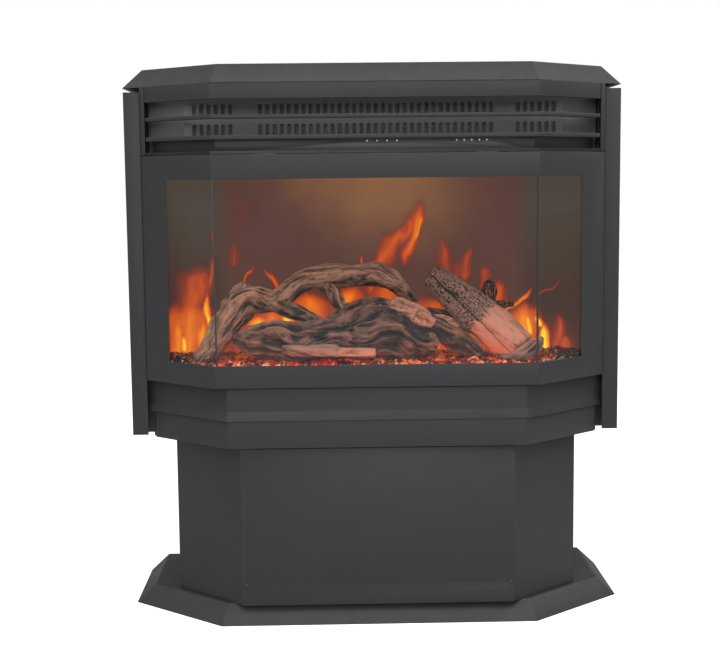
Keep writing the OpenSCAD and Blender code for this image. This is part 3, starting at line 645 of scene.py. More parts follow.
class Finishes:
    """Every finish on the fireplace, by the piece of the real thing that wears it."""

    coat = PowderCoat("powder_coat_black", "coat_black")
    # Same coat painted far lighter than the body coat: painted light on the outlet grille and the front slot
    # rims, which sit in shade behind the louvres.
    painted_light_coat = PowderCoat("powder_coat_painted_light", "coat_black", colour=(0.135, 0.138, 0.144), dust=0.1)
    inner_coat = PowderCoat("powder_coat_inside", "coat_black", colour=(0.010, 0.010, 0.010),
                            roughness=0.34, dust=0.0)
    screw = PowderCoat("blackened_screw", "black_screw", colour=(0.03, 0.03, 0.031), roughness=0.36,
                       dust=0.0)
    sheet = BareMetal("galvanised_sheet", "galvanised_sheet")
    glass = ClearGlass("window_glass", "window_glass")
    seal = Plastic("corner_silicone", "seal_silicone", colour=(0.012, 0.012, 0.012), roughness=0.30)
    magnet = BareMetal("nickel_magnet", "magnet_nickel", colour=(0.66, 0.64, 0.58), roughness=0.22,
                       pattern_per_m=400)
    flames = FlameGlow("flame_screen_glow", "flame_acrylic")
    crystal = CrystalGlass("ember_crystal", "ember_crystal")
    root = CastLog("root_wood", "brown_bark", bark_high=(0.35, 0.175, 0.115),
                   bark_low=(0.036, 0.015, 0.010))
    charred = CastLog("charred_wood", "charred_bark", bark_high=(0.24, 0.115, 0.082),
                      bark_low=(0.006, 0.0045, 0.004), hollow=0.34, crest=0.98)
    split = CastLog("split_wood", "bare_wood")
    mirror = BareMetal("mirror_foil", "mirror_foil", colour=(0.86, 0.86, 0.88), roughness=0.14,
                       pattern_per_m=60,
                       contrast=0.06)
    alloy = BareMetal("blower_alloy", "blower_alloy", colour=(0.66, 0.67, 0.69), stretch=(0.1, 1.0, 1.0))
    # Galvanised sheet darkened far below its own grey: painted shade on the blower housing, heater frame and
    # element fins inside the casing.
    duct = BareMetal("duct_sheet_painted_shade", "galvanised_sheet", colour=(0.16, 0.16, 0.165), roughness=0.62)
    # Grey far lighter than the body coat: painted light, so that the slots, which lie in shade, read dark
    # grey.
    wire = PowderCoat("outlet_wire_painted_light", "coat_black", colour=(0.20, 0.20, 0.205), dust=0.05)
    brass = BareMetal("bush_brass", "bush_brass", colour=(0.70, 0.50, 0.22), roughness=0.30)
    motor = BareMetal("motor_can", "motor_steel", colour=(0.50, 0.51, 0.53), roughness=0.30, contrast=0.1)
    board = Plastic("circuit_board", "circuit_board", colour=(0.018, 0.10, 0.045), roughness=0.35,
                    fleck=(0.05, 0.22, 0.10))
    coil = BareMetal("heater_coil", "heater_wire", colour=(0.34, 0.27, 0.22), roughness=0.5,
                     stretch=(6.0, 1.0, 1.0))
    plastic = Plastic("moulded_black", "black_plastic")
    rocker = Plastic("rocker_gloss", "rocker_plastic", colour=(0.008, 0.008, 0.009), roughness=0.16,
                     bump=0.04)
    lamp = LampGlow("touch_mark_light", "lamp_white")


# ---------------------------------------------------------------- mesh helpers

def mesh_object(name: str, points: Array, faces: Sequence[Sequence[int]], smooth: bool = False,
                edges: Sequence[Sequence[int]] = ()) -> bpy.types.Object:
    """Makes an object at the origin from points in metres.

    Args:
        name: The object's name.
        points: Rows of X, Y, Z.
        faces: Corner numbers of each face.
        smooth: True for smooth shading.
        edges: Loose edges, as pairs of point numbers.

    Returns:
        The linked object.
    """
    mesh = bpy.data.meshes.new(name)
    mesh.from_pydata([tuple(row) for row in np.asarray(points, float)], list(edges),
                     [tuple(face) for face in faces])
    mesh.validate()
    if smooth:
        mesh.shade_smooth()
    return link(name, mesh)


def link(name: str, mesh: bpy.types.Mesh) -> bpy.types.Object:
    """Links a mesh into the scene as a new object."""
    made = bpy.data.objects.new(name, mesh)
    bpy.context.scene.collection.objects.link(made)
    return made


def put(piece: bpy.types.Object, body: str, finish: Finish, *stands_for: str) -> bpy.types.Object:
    """Dresses a new piece, makes it ride on a body and reports it.

    Args:
        piece: The piece, at the origin with its place in its mesh.
        body: Name of the CAD body it moves with.
        finish: Its finish.
        stands_for: CAD nodes that it replaces.

    Returns:
        The piece.
    """
    piece.data.materials.clear()
    piece.data.materials.append(finish.material())
    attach(piece, body)
    if stands_for:
        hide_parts(*stands_for)
    LOG.info("%-24s %7d faces, rides on %s", piece.name, len(piece.data.polygons), body)
    return piece


def dress(finish: Finish, *nodes: str) -> None:
    """Gives CAD nodes that keep their shape a finish."""
    for node in nodes:
        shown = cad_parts[node]
        if not shown.material_slots:
            shown.data.materials.append(finish.material())
        for holder in shown.material_slots:
            holder.material = finish.material()
        LOG.info("%-24s keeps its CAD shape", node)


def merged_copy(node: str) -> bpy.types.Object:
    """Copies a CAD node with its doubles merged and its flat faces made whole.

    Args:
        node: The CAD node.

    Returns:
        The copy, named after the node with _formed added.
    """
    shape = bmesh.new()
    shape.from_mesh(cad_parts[node].data)
    bmesh.ops.remove_doubles(shape, verts=shape.verts[:], dist=1e-5)
    bmesh.ops.dissolve_limit(shape, angle_limit=math.radians(1.0), verts=shape.verts[:],
                             edges=shape.edges[:])
    mesh = bpy.data.meshes.new(f"{node}_formed")
    shape.to_mesh(mesh)
    shape.free()
    return link(f"{node}_formed", mesh)


def fold(node: str, finish: Finish, radius_mm: float, segments: int = 2,
         body: str = CASING) -> bpy.types.Object:
    """Replaces a CAD sheet part by a copy whose folds and cut edges are rounded.

    Args:
        node: The CAD node.
        finish: Its finish.
        radius_mm: Size of the rounding.
        segments: Faces across each rounding.
        body: The body it rides on.

    Returns:
        The rounded copy.
    """
    piece = merged_copy(node)
    piece.data.shade_smooth()
    edge = piece.modifiers.new("folded_edges", "BEVEL")
    edge.width = radius_mm * MM
    edge.segments = segments
    edge.limit_method = "ANGLE"
    edge.angle_limit = math.radians(20)
    edge.harden_normals = True
    return put(piece, body, finish, node)


class Recipe:
    """A Geometry Nodes tree that is run on a mesh once and leaves a plain mesh."""

    def __init__(self, name: str, **inputs: tuple[str, object]) -> None:
        """Starts the tree.

        Args:
            name: Name of the tree.
            inputs: Input name to its socket type and value. Underscores in a name become spaces.
        """
        named = {label.replace("_", " "): given for label, given in inputs.items()}
        kinds = {"Geometry": "NodeSocketGeometry", **{label: given[0] for label, given in named.items()}}
        self.values = {label: given[1] for label, given in named.items()}
        self.tree, self.given, self.out = new_group(name, "GeometryNodeTree", kinds,
                                                    {"Geometry": "NodeSocketGeometry"})

    def close(self, geometry: bpy.types.NodeSocket, finish: Finish) -> None:
        """Ends the tree with real geometry in one material."""
        real = self.tree.add("GeometryNodeRealizeInstances", {"Geometry": geometry})
        clad = self.tree.add("GeometryNodeSetMaterial",
                             {"Geometry": real.outputs[0], "Material": finish.material()})
        self.tree.feed(self.out.inputs["Geometry"], clad.outputs[0])

    def run(self, name: str, points: Array, faces: Sequence[Sequence[int]] = (),
            edges: Sequence[Sequence[int]] = ()) -> bpy.types.Object:
        """Runs the tree on a mesh.

        Args:
            name: Name of the piece.
            points: Points of the mesh it starts from.
            faces: Faces of that mesh.
            edges: Loose edges of that mesh.

        Returns:
            The result as a plain mesh object.
        """
        start = mesh_object(f"{name}_start", points, faces, edges=edges)
        modifier = start.modifiers.new(name, "NODES")
        modifier.node_group = self.tree.tree
        for item in self.tree.tree.interface.items_tree:
            if item.in_out == "INPUT" and item.name in self.values:
                modifier[item.identifier] = self.values[item.name]
        made = start.evaluated_get(bpy.context.evaluated_depsgraph_get())
        mesh = bpy.data.meshes.new_from_object(made)
        start.modifiers.clear()
        bpy.data.objects.remove(start)
        mesh.name = name
        return link(name, mesh)


class Grain:
    """Repeatable noise in three dimensions for shaping meshes."""

    def __init__(self, seed: int) -> None:
        """Fills the noise's table from a fixed seed."""
        self.table = np.random.default_rng(seed).random(8192)

    def _look_up(self, cell: Array) -> Array:
        """Random number of each lattice cell."""
        cell = cell.astype(np.int64)
        mixed = (cell[:, 0] * 73856093) ^ (cell[:, 1] * 19349663) ^ (cell[:, 2] * 83492791)
        return self.table[mixed & 8191]

    def value(self, where: Array) -> Array:
        """Smooth noise from 0 to 1 at each row of where."""
        low = np.floor(where)
        part = where - low
        part = part * part * (3.0 - 2.0 * part)
        total = np.zeros(len(where))
        for corner in np.ndindex(2, 2, 2):
            step = np.array(corner)
            weight = np.prod(np.where(step == 1, part, 1.0 - part), axis=1)
            total += weight * self._look_up(low + step)
        return total

    def layers(self, where: Array, octaves: int = 4, gain: float = 0.5) -> Array:
        """Noise summed over ever finer layers, from 0 to 1."""
        weights = [gain ** n for n in range(octaves)]
        total = sum(w * self.value(where * 2.03 ** n + 17.1 * n) for n, w in enumerate(weights))
        return total / sum(weights)

    def ridges(self, where: Array, octaves: int = 3, gain: float = 0.5) -> Array:
        """Noise with sharp crests, from 0 to 1."""
        weights = [gain ** n for n in range(octaves)]
        total = sum(w * (1.0 - np.abs(2.0 * self.value(where * 2.07 ** n + 9.7 * n) - 1.0))
                    for n, w in enumerate(weights))
        return total / sum(weights)

    def cracks(self, where: Array) -> Array:
        """Distance from the border between random cells, 0 on the border."""
        low = np.floor(where)
        near = np.full(len(where), 9.0)
        second = np.full(len(where), 9.0)
        for corner in np.ndindex(3, 3, 3):
            cell = low + np.array(corner) - 1.0
            seed = np.column_stack([self._look_up(cell + shift) for shift in (0.0, 57.0, 113.0)])
            away = np.linalg.norm(cell + seed - where, axis=1)
            second = np.where(away < near, near, np.minimum(second, away))
            near = np.minimum(near, away)
        return second - near


def spread(value: Array) -> Array:
    """Stretches noise so that nearly all of it fills 0 to 1."""
    low, high = np.percentile(value, (4, 96))
    return np.clip((value - low) / max(high - low, 1e-6), 0.0, 1.0)


def blend_in(value: Array, low: float, high: float) -> Array:
    """Smooth step of an array from 0 at low to 1 at high."""
    share = np.clip((value - low) / (high - low), 0.0, 1.0)
    return share * share * (3.0 - 2.0 * share)


def bay_outline(half: float, front: float, end_x: float, back: float) -> list[tuple[float, float]]:
    """Plan of a bay-fronted block, in millimetres, anticlockwise seen from above.

    Args:
        half: Half the straight front.
        front: Y of the front.
        end_x: Half the whole width.
        back: Y of the back.

    Returns:
        The corners.
    """
    shoulder = front + (end_x - half) * BAY_SLOPE
    return [(-half, front), (half, front), (end_x, shoulder), (end_x, back), (-end_x, back),
            (-end_x, shoulder)]


# ---------------------------------------------------------------- logs

class Skin(Enum):
    """Surface of a cast limb."""

    GNARLED = "flowing weathered wood"
    CHARRED = "burnt layers"
    CRACKED = "checked bark"
    RAW = "broken wood"


@dataclass(frozen=True)
class Limb:
    """One limb: a route of X, Y, Z and radius in millimetres, and what covers it."""

    route: tuple[tuple[float, float, float, float], ...]
    skin: Skin
    step: float = 1.4
    sides: int = 96
    lump: float = 0.16
    flat: float = 0.0
    bare_from: float = 9.0
    bare_to: float = 10.0
    char_from: float = 9.0
    # Share of near-black laid on the limb's underside.
    dark_underside: float = 0.0
    knots: tuple[tuple[float, float, float, float], ...] = ()
    split: Optional[tuple[float, float]] = None
    blunt: float = 0.5


@dataclass
class Log:
    """A cast log, made of limbs that grow out of each other."""

    node: str
    finish: Finish
    limbs: tuple[Limb, ...]
    seed: int = 1

    def build(self) -> bpy.types.Object:
        """Makes the log, with its attributes for bare wood, for charring and the near-black underside, and
        for ridges, and dresses it.

        Returns:
            The log.
        """
        points: list[Array] = []
        faces: list[Array] = []
        masks: list[Array] = []
        start = 0
        for number, limb in enumerate(self.limbs):
            where, corners, mask = self._sweep(limb, Grain(self.seed * 31 + number))
            points.append(where)
            faces.append(corners + start)
            masks.append(mask)
            start += len(where)
        mesh = bpy.data.meshes.new(f"{self.node}_carved")
        corners = np.vstack(faces)
        mesh.from_pydata((np.vstack(points) * MM).tolist(), [],
                         [list(dict.fromkeys(row)) for row in corners.tolist()])
        mesh.shade_smooth()
        for name, column in zip(("bare", "char_and_underside", "ridge"), np.vstack(masks).T):
            mesh.attributes.new(name, "FLOAT", "POINT").data.foreach_set("value", column.astype(np.float32))
        piece = link(f"{self.node}_carved", mesh)
        return put(piece, CASING, self.finish, *([self.node] if self.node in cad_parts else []))

    @staticmethod
    def route_points(limb: Limb) -> Array:
        """Even points and radii along the limb's smooth route."""
        given = np.array(limb.route, float)
        held = np.vstack([2 * given[0] - given[1], given, 2 * given[-1] - given[-2]])
        share = np.linspace(0, 1, 30, endpoint=False)[:, None]
        runs = [0.5 * (2 * b + (c - a) * share + (2 * a - 5 * b + 4 * c - d) * share ** 2
                       + (3 * b - a - 3 * c + d) * share ** 3)
                for a, b, c, d in zip(held, held[1:], held[2:], held[3:])]
        dense = np.vstack(runs + [given[-1:]])
        along = np.concatenate([[0], np.cumsum(np.linalg.norm(np.diff(dense[:, :3], axis=0), axis=1))])
        wanted = np.linspace(0, along[-1], max(int(along[-1] / limb.step), 8))
        return np.column_stack([wanted] + [np.interp(wanted, along, dense[:, k]) for k in range(4)])

    def _sweep(self, limb: Limb, grain: Grain) -> tuple[Array, Array, Array]:
        """Sweeps a limb's carved surface along its route.

        Args:
            limb: The limb.
            grain: Its noise.

        Returns:
            Points in millimetres, faces and the three masks.
        """
        line = self.route_points(limb)
        along, centre, radius = line[:, 0], line[:, 1:4], np.maximum(line[:, 4], 1.0)
        tangent = np.gradient(centre, axis=0)
        tangent /= np.linalg.norm(tangent, axis=1)[:, None]
        rounds = 9
        first, last = self._cap(centre[0], -tangent[0], radius[0], rounds, limb.blunt)[::-1], \
            self._cap(centre[-1], tangent[-1], radius[-1], rounds, limb.blunt)
        centre = np.vstack([first[:, :3], centre, last[:, :3]])
        pinch = np.concatenate([first[:, 3], np.ones(len(radius)), last[:, 3]])
        radius = np.concatenate([np.full(rounds, radius[0]), radius, np.full(rounds, radius[-1])])
        tangent = np.vstack([np.repeat(tangent[:1], rounds, 0), tangent,
                             np.repeat(tangent[-1:], rounds, 0)])
        reach = np.cumsum(np.concatenate([[0], np.linalg.norm(np.diff(centre, axis=0), axis=1)]))
        share = (reach - reach[rounds]) / along[-1]
        front = np.array([0.0, -1.0, 0.0])
        ahead = front - (tangent @ front)[:, None] * tangent
        ahead /= np.linalg.norm(ahead, axis=1)[:, None]
        under = np.cross(tangent, ahead)
        turn = np.linspace(0, 2 * math.pi, limb.sides, endpoint=False)
        rings, sides = len(centre), limb.sides
        angle = np.tile(turn, rings)
        ring = np.repeat(np.arange(rings), sides)
        spoke = ahead[ring] * np.cos(angle)[:, None] + under[ring] * np.sin(angle)[:, None]
        wide = radius[ring]
        straight = np.column_stack([np.cos(angle) * wide, np.sin(angle) * wide, reach[ring]])
        rise, ridge, bare, char_and_underside = self._carve(limb, grain, straight, angle, share[ring], wide)
        size = wide * pinch[ring] + rise * (0.25 + 0.75 * pinch[ring])
        points = centre[ring] + spoke * np.maximum(size, 0.05)[:, None]
        points += tangent[ring] * ((ridge - 0.5) * (1.0 - pinch[ring]) * 0.22 * wide)[:, None]
        poles = np.array([points[:sides].mean(0), points[-sides:].mean(0)])
        at = np.arange(rings * sides).reshape(rings, sides)
        beside = np.roll(at, -1, axis=1)
        quads = np.stack([at[:-1], beside[:-1], beside[1:], at[1:]], axis=-1).reshape(-1, 4)
        foot, top = rings * sides, rings * sides + 1
        closing = [[foot, beside[0, j], at[0, j], at[0, j]] for j in range(sides)]
        closing += [[top, at[-1, j], beside[-1, j], beside[-1, j]] for j in range(sides)]
        masks = np.column_stack([bare, char_and_underside, ridge])
        masks = np.vstack([masks, masks[:sides].mean(0), masks[-sides:].mean(0)])
        return np.vstack([points, poles]), np.vstack([quads, np.array(closing)]), masks

    @staticmethod
    def _cap(middle: Array, out: Array, radius: float, rounds: int, blunt: float) -> Array:
        """Centres and pinch of the rings that close one end."""
        share = np.linspace(1.0 / rounds, 0.985, rounds)
        lift = np.sin(share * math.pi / 2) * radius * blunt
        return np.column_stack([middle + out * lift[:, None], np.cos(share * math.pi / 2) ** 0.6])

    @staticmethod
    def _carve(limb: Limb, grain: Grain, where: Array, angle: Array, share: Array,
               wide: Array) -> tuple[Array, Array, Array, Array]:
        """Works out how far the surface stands from the round limb, and its masks.

        Args:
            limb: The limb.
            grain: Its noise.
            where: Place on the straightened limb.
            angle: Turn from the front, positive downwards.
            share: Place along the limb, from 0 to 1.
            wide: Radius of the limb there.

        Returns:
            Height in millimetres, ridge, bare, and charring together with the near-black underside.
        """
        big = spread(grain.layers(where / [20, 20, 30], 3)) - 0.5
        rise = big * limb.lump * wide
        shift = np.column_stack([grain.value(where / [17, 17, 26] + k) - 0.5 for k in (3.1, 7.7, 11.3)])
        wavy = where + shift * [9.0, 9.0, 6.0]
        twist = 1.5 * (grain.value(where / [34, 34, 46]) - 0.5)
        turned = wavy.copy()
        turned[:, 0] = wavy[:, 0] * np.cos(twist) - wavy[:, 1] * np.sin(twist)
        turned[:, 1] = wavy[:, 0] * np.sin(twist) + wavy[:, 1] * np.cos(twist)
        fine = spread(grain.layers(where / [1.3, 1.3, 5.0], 3))
        hair = spread(grain.ridges(turned / [1.9, 1.9, 26], 2))
        edge = 0.07 * (grain.layers(where / [4, 4, 20], 3) - 0.5) * 2.0
        bare = blend_in(share + edge, limb.bare_from, limb.bare_from + 0.012)
        bare *= 1.0 - blend_in(share + edge, limb.bare_to, limb.bare_to + 0.012)
        deep = np.clip(wide / 18, 0.45, 1.15)
        if limb.skin is Skin.GNARLED:
            flow = spread(grain.ridges(turned / [7.5, 7.5, 62], 3))
            ridge = 0.46 * flow + 0.30 * hair + 0.24 * fine
            relief = (3.4 * (flow - 0.5) + 1.3 * (hair - 0.5) + 0.5 * (fine - 0.5)) * deep
        elif limb.skin is Skin.CHARRED:
            layer = spread(grain.ridges(turned / [11.0, 11.0, 74], 2)) ** 1.2
            strand = spread(grain.ridges(turned / [4.6, 4.6, 44] + 5.0, 3))
            ridge = 0.42 * layer + 0.34 * strand + 0.14 * hair + 0.10 * fine
            relief = (8.0 * (layer - 0.45) + 3.6 * (strand - 0.5) + 1.0 * (hair - 0.5) + 0.5 * fine) * deep
        elif limb.skin is Skin.CRACKED:
            plates = blend_in(grain.cracks(wavy / [3.4, 3.4, 4.6]), 0.0, 0.19)
            seams = blend_in(np.abs(grain.value(turned / [6.0, 6.0, 90]) - 0.5), 0.0, 0.06)
            ridge = np.clip(plates * (0.30 + 0.70 * seams) * (0.62 + 0.38 * fine), 0, 1)
            relief = 2.4 * (plates * (0.3 + 0.7 * seams) - 0.6) + 0.7 * (fine - 0.5)
        else:
            chunk = spread(grain.ridges(wavy / [7, 7, 15], 3))
            ridge = 0.55 * chunk + 0.45 * fine
            relief = (4.2 * (chunk - 0.5) + 1.2 * (fine - 0.5)) * deep
            bare = 1.0 - blend_in(grain.layers(where / 8, 3), 0.60, 0.66)
        fibre = spread(grain.layers(where / [0.9, 0.9, 26], 3))
        patch = spread(grain.layers(where / [7, 7, 20], 3))
        if limb.skin is not Skin.RAW:
            rise += relief * (1 - bare) + (0.8 * (fibre - 0.5) + 0.7 * (patch - 0.5) - 1.4) * bare
            ridge = ridge * (1 - bare) + (0.30 + 0.30 * fibre + 0.40 * patch) * bare
        else:
            rise += relief
        for place, turn, size, height in limb.knots:
            length = (share - place) * (where[:, 2].max() - where[:, 2].min()) / 1.05
            around = np.angle(np.exp(1j * (angle - turn))) * wide
            away = np.sqrt(length ** 2 + around ** 2) / size
            rise += height * (np.exp(-away ** 2) - 0.55 * np.exp(-(away * 2.6) ** 2))
        if limb.split is not None:
            line = limb.split[0] + limb.split[1] * share + 0.10 * (grain.layers(where / [40, 40, 16],
                                                                                3) - 0.5)
            gap = np.abs(np.angle(np.exp(1j * (angle - line)))) * wide
            notch = 1.0 - blend_in(gap, 0.25, 1.5)
            rise -= 3.2 * notch
            ridge *= 1.0 - 0.9 * notch
        rise -= limb.flat * wide * np.clip(np.cos(angle), 0, 1) ** 2
        char_and_underside = blend_in(share + 2.0 * edge, limb.char_from, limb.char_from + 0.12)
        # The underside of the limb is made near-black, added to the charring mask.
        if limb.dark_underside > 0:
            low = blend_in(np.sin(angle) + 1.2 * (grain.layers(where / [14, 14, 30], 3) - 0.5), -0.15, 0.55)
            char_and_underside = np.maximum(char_and_underside, low * limb.dark_underside)
        return rise, np.clip(ridge, 0, 1), bare, char_and_underside


@dataclass
class LogSet:
    """The cast logs that lie on the embers."""

    logs: tuple[Log, ...] = field(default_factory=lambda: (
        Log("root_log", Finishes.root, (
            Limb(((-240, -78, 366, 15), (-222, -76, 393, 18), (-202, -72, 423, 20), (-184, -66, 446, 20),
                  (-163, -60, 450, 18), (-143, -56, 449, 15), (-122, -54, 458, 16), (-101, -50, 472, 15),
                  (-76, -46, 480, 15), (-51, -44, 481, 15), (-21, -42, 482, 15), (4, -40, 481, 15),
                  (25, -38, 471, 13), (44, -36, 455, 9), (58, -32, 440, 5)), Skin.GNARLED, step=1.2,
                 sides=130,
                 lump=0.34, char_from=0.88, dark_underside=0.75,
                 knots=((0.24, -1.3, 11, 5.0), (0.47, -0.2, 8, 3.5), (0.53, 0.45, 8, 4.5),
                        (0.66, -0.4, 9, 3.5),
                        (0.80, -0.9, 9, 3.0))),
            Limb(((-194, -66, 438, 18), (-188, -64, 456, 17), (-182, -62, 466, 11)), Skin.GNARLED, sides=90,
                 lump=0.3),
            Limb(((-150, -58, 446, 10), (-130, -62, 438, 11), (-110, -66, 430, 10), (-78, -72, 419, 6)),
                 Skin.GNARLED,
                 sides=70, char_from=0.1, dark_underside=1.0, lump=0.3),
            Limb(((-76, -46, 478, 13), (-64, -50, 460, 11), (-52, -55, 444, 10), (-38, -66, 424, 10)),
                 Skin.GNARLED,
                 sides=70, char_from=0.75, dark_underside=0.9, lump=0.3)), seed=3),
        Log("front_log", Finishes.charred, (
            Limb(((-197, -92, 397, 6), (-180, -90, 395, 15), (-155, -88, 395, 22), (-130, -86, 394, 25),
                  (-106, -84, 391, 24), (-77, -82, 392, 24), (-48, -80, 395, 28), (-19, -78, 398, 32),
                  (11, -78, 397, 33), (40, -78, 391, 30), (65, -79, 386, 23), (81, -80, 381, 11)),
                 Skin.CHARRED,
                 step=1.1, lump=0.26, sides=180, dark_underside=0.5, flat=0.10,
                 knots=((0.62, -0.5, 12, 4.0), (0.80, 0.2, 12, 4.0))),
            Limb(((-64, -70, 412, 10), (-38, -66, 427, 12), (-10, -64, 436, 12), (22, -62, 438, 8)),
                 Skin.CHARRED,
                 sides=90, lump=0.3, dark_underside=0.6)), seed=5),
        Log("front_splinter", Finishes.split, (
            Limb(((-130, -115, 384, 5), (-93, -115, 381, 7.5), (-44, -115, 379, 8), (-3, -115, 378, 7.5)),
                 Skin.CHARRED, step=0.8, sides=80, bare_from=0.60, bare_to=2.0, lump=0.3, blunt=0.15,
                 knots=((0.74, -0.2, 3.5, -5.0),)),), seed=7),
        Log("centre_log", Finishes.charred, (
            Limb(((60, -66, 424, 12), (84, -68, 408, 13), (111, -70, 391, 13), (132, -74, 377, 12),
                  (152, -78, 364, 8)), Skin.CHARRED, sides=110, lump=0.25, dark_underside=0.5),
            Limb(((76, -40, 429, 4), (102, -36, 423, 5), (128, -32, 422, 6), (145, -30, 423, 3)),
                 Skin.CHARRED,
                 sides=50, lump=0.3, char_from=-1.0)), seed=11),
        Log("broken_chunks", Finishes.split, (
            Limb(((22, -70, 439, 9), (34, -71, 436, 12), (48, -72, 430, 12), (64, -73, 423, 13),
                  (80, -74, 414, 10)),
                 Skin.RAW, step=0.7, sides=100, lump=0.45, flat=0.15, blunt=0.25),
            Limb(((84, -56, 418, 5), (104, -55, 413, 8), (120, -53, 405, 8), (134, -50, 397, 5)), Skin.RAW,
                 step=0.8,
                 sides=64, lump=0.4)), seed=19),
        Log("split_log", Finishes.split, (
            Limb(((83, -30, 477, 17), (104, -40, 459, 22), (130, -50, 438, 26), (154, -60, 418, 29),
                  (178, -72, 396, 30), (197, -83, 378, 28)), Skin.CRACKED, step=0.8, sides=190, lump=0.12,
                 flat=0.12,
                 bare_from=0.60, char_from=0.985, split=(0.0, 0.45), blunt=0.25),
            Limb(((176, -92, 366, 8), (200, -92, 371, 12), (222, -88, 384, 9), (232, -84, 392, 4)),
                 Skin.CHARRED,
                 sides=80, lump=0.4, dark_underside=0.6)), seed=13),
        Log("back_stubs", Finishes.charred, (
            Limb(((172, -2, 376, 10), (166, -4, 430, 11), (167, -4, 452, 11), (168, -4, 464, 8)),
                 Skin.CRACKED,
                 sides=70, lump=0.3),
            Limb(((178, 0, 376, 8), (182, 0, 410, 8), (180, 2, 430, 6), (203, 2, 432, 4)), Skin.CRACKED,
                 sides=60,
                 lump=0.3)), seed=17),
    ))

    def build(self) -> None:
        """Makes every log."""
        for log in self.logs:
            log.build()


# ---------------------------------------------------------------- embers

@dataclass
class EmberBed:
    """Crushed glass on a lit tray."""

    half: float = 213.0
    front: float = -122.4
    end_x: float = 303.4
    back: float = 14.4
    top: float = 366.0
    depth: float = 26.0
    chips: int = 2100
    chip_mm: float = 8.8
    seed: int = 41

    def build(self) -> None:
        """Makes the glowing base and the chips on it."""
        self._base()
        self._chips()
        dress(Finishes.sheet, "ember_tray")
        dress(Finishes.board, "ember_light_board")

    def _base(self) -> None:
        """A closed slab that the chips lie in."""
        plan = bay_outline(self.half, self.front, self.end_x, self.back)
        count = len(plan)
        low, high = self.top - self.depth, self.top - 8.0
        points = [(x * MM, y * MM, z * MM) for z in (low, high) for x, y in plan]
        faces = [list(range(count))[::-1], list(range(count, 2 * count))]
        faces += [[i, (i + 1) % count, (i + 1) % count + count, i + count] for i in range(count)]
        put(mesh_object("ember_base", np.array(points), faces), CASING, Finishes.crystal)

    def _chips(self) -> None:
        """Scatters the chips over a gently heaped surface."""
        columns, rows = 90, 24
        xs = np.linspace(-self.end_x + 7, self.end_x - 7, columns)
        ys = np.linspace(0, 1, rows)
        grain = Grain(self.seed)
        points = []
        for y_share in ys:
            for x in xs:
                shoulder = self.front + max(abs(x) - self.half, 0.0) * BAY_SLOPE + 6.0
                points.append((x, shoulder + (self.back - 7.0 - shoulder) * y_share, 0.0))
        where = np.array(points)
        where[:, 2] = self.top - 7.0 + 5.0 * (grain.layers(where / [34, 34, 34], 2) - 0.5)
        faces = [(r * columns + c, r * columns + c + 1, (r + 1) * columns + c + 1, (r + 1) * columns + c)
                 for r in range(rows - 1) for c in range(columns - 1)]
        area = (2 * self.end_x) * (self.back - self.front) * MM * MM * 0.86
        put(self._recipe(self.chips / area).run("ember_crystals", where * MM, faces), CASING,
            Finishes.crystal,
            "ember_bed")

    def _recipe(self, density: float) -> Recipe:
        """Tree that strews random chips over a surface.

        Args:
            density: Chips to the square metre.

        Returns:
            The recipe.
        """
        recipe = Recipe("strewn_chips", Density=("NodeSocketFloat", density),
                        Seed=("NodeSocketInt", self.seed),
                        Chip_Size=("NodeSocketFloat", self.chip_mm * MM),
                        Roughness=("NodeSocketFloat", 0.24))
        tree, given = recipe.tree, recipe.given
        spots = tree.add("GeometryNodeDistributePointsOnFaces",
                         {"Mesh": given["Geometry"], "Density": given["Density"],
                                                                 "Seed": given["Seed"]})
        kinds = tree.add("GeometryNodeJoinGeometry")
        for number in range(7):
            ball = tree.add("GeometryNodeMeshUVSphere", {"Radius": 1.0, "Segments": 8, "Rings": 5})
            reach = tree.add("ShaderNodeVectorMath", {0: (1.0, 1.0, 1.0)}, operation="SCALE")
            tree.feed(reach.inputs["Scale"], given["Roughness"])
            back = tree.add("ShaderNodeVectorMath", {0: reach.outputs[0], "Scale": -1.0}, operation="SCALE")
            shove = tree.add("FunctionNodeRandomValue", {"Min": back.outputs[0], "Max": reach.outputs[0],
                                                         "Seed": 100 + number}, data_type="FLOAT_VECTOR")
            chip = tree.add("GeometryNodeSetPosition",
                            {"Geometry": ball.outputs[0], "Offset": shove.outputs[0]})
            one = tree.add("GeometryNodeGeometryToInstance", {0: chip.outputs[0]})
            tree.tree.links.new(one.outputs[0], kinds.inputs[0])
        which = tree.add("FunctionNodeRandomValue", {4: 0, 5: 6, "Seed": 7}, data_type="INT")
        turn = tree.add("FunctionNodeRandomValue",
                        {"Min": (0.0, 0.0, 0.0), "Max": (6.28, 6.28, 6.28), "Seed": 8},
                        data_type="FLOAT_VECTOR")
        shape = tree.add("FunctionNodeRandomValue",
                         {"Min": (0.55, 0.55, 0.45), "Max": (1.25, 1.1, 0.9), "Seed": 9},
                         data_type="FLOAT_VECTOR")
        size = tree.add("ShaderNodeVectorMath", {0: shape.outputs[0]}, operation="SCALE")
        tree.feed(size.inputs["Scale"], given["Chip Size"])
        strewn = tree.add("GeometryNodeInstanceOnPoints", {
            "Points": spots.outputs["Points"], "Instance": kinds.outputs[0], "Pick Instance": True,
            "Instance Index": which.outputs[2], "Rotation": turn.outputs[0], "Scale": size.outputs[0]})
        shade = tree.add("FunctionNodeRandomValue", {2: 0.0, 3: 1.0, "Seed": 12}, data_type="FLOAT")
        tinted = tree.add("GeometryNodeStoreNamedAttribute", {"Geometry": strewn.outputs[0], "Name": "tint",
                                                              "Value": shade.outputs[1]},
                          data_type="FLOAT", domain="INSTANCE")
        polished = tree.add("GeometryNodeSetShadeSmooth",
                            {"Geometry": tinted.outputs[0], "Shade Smooth": True})
        recipe.close(polished.outputs[0], Finishes.crystal)
        return recipe


# ---------------------------------------------------------------- sheet metal

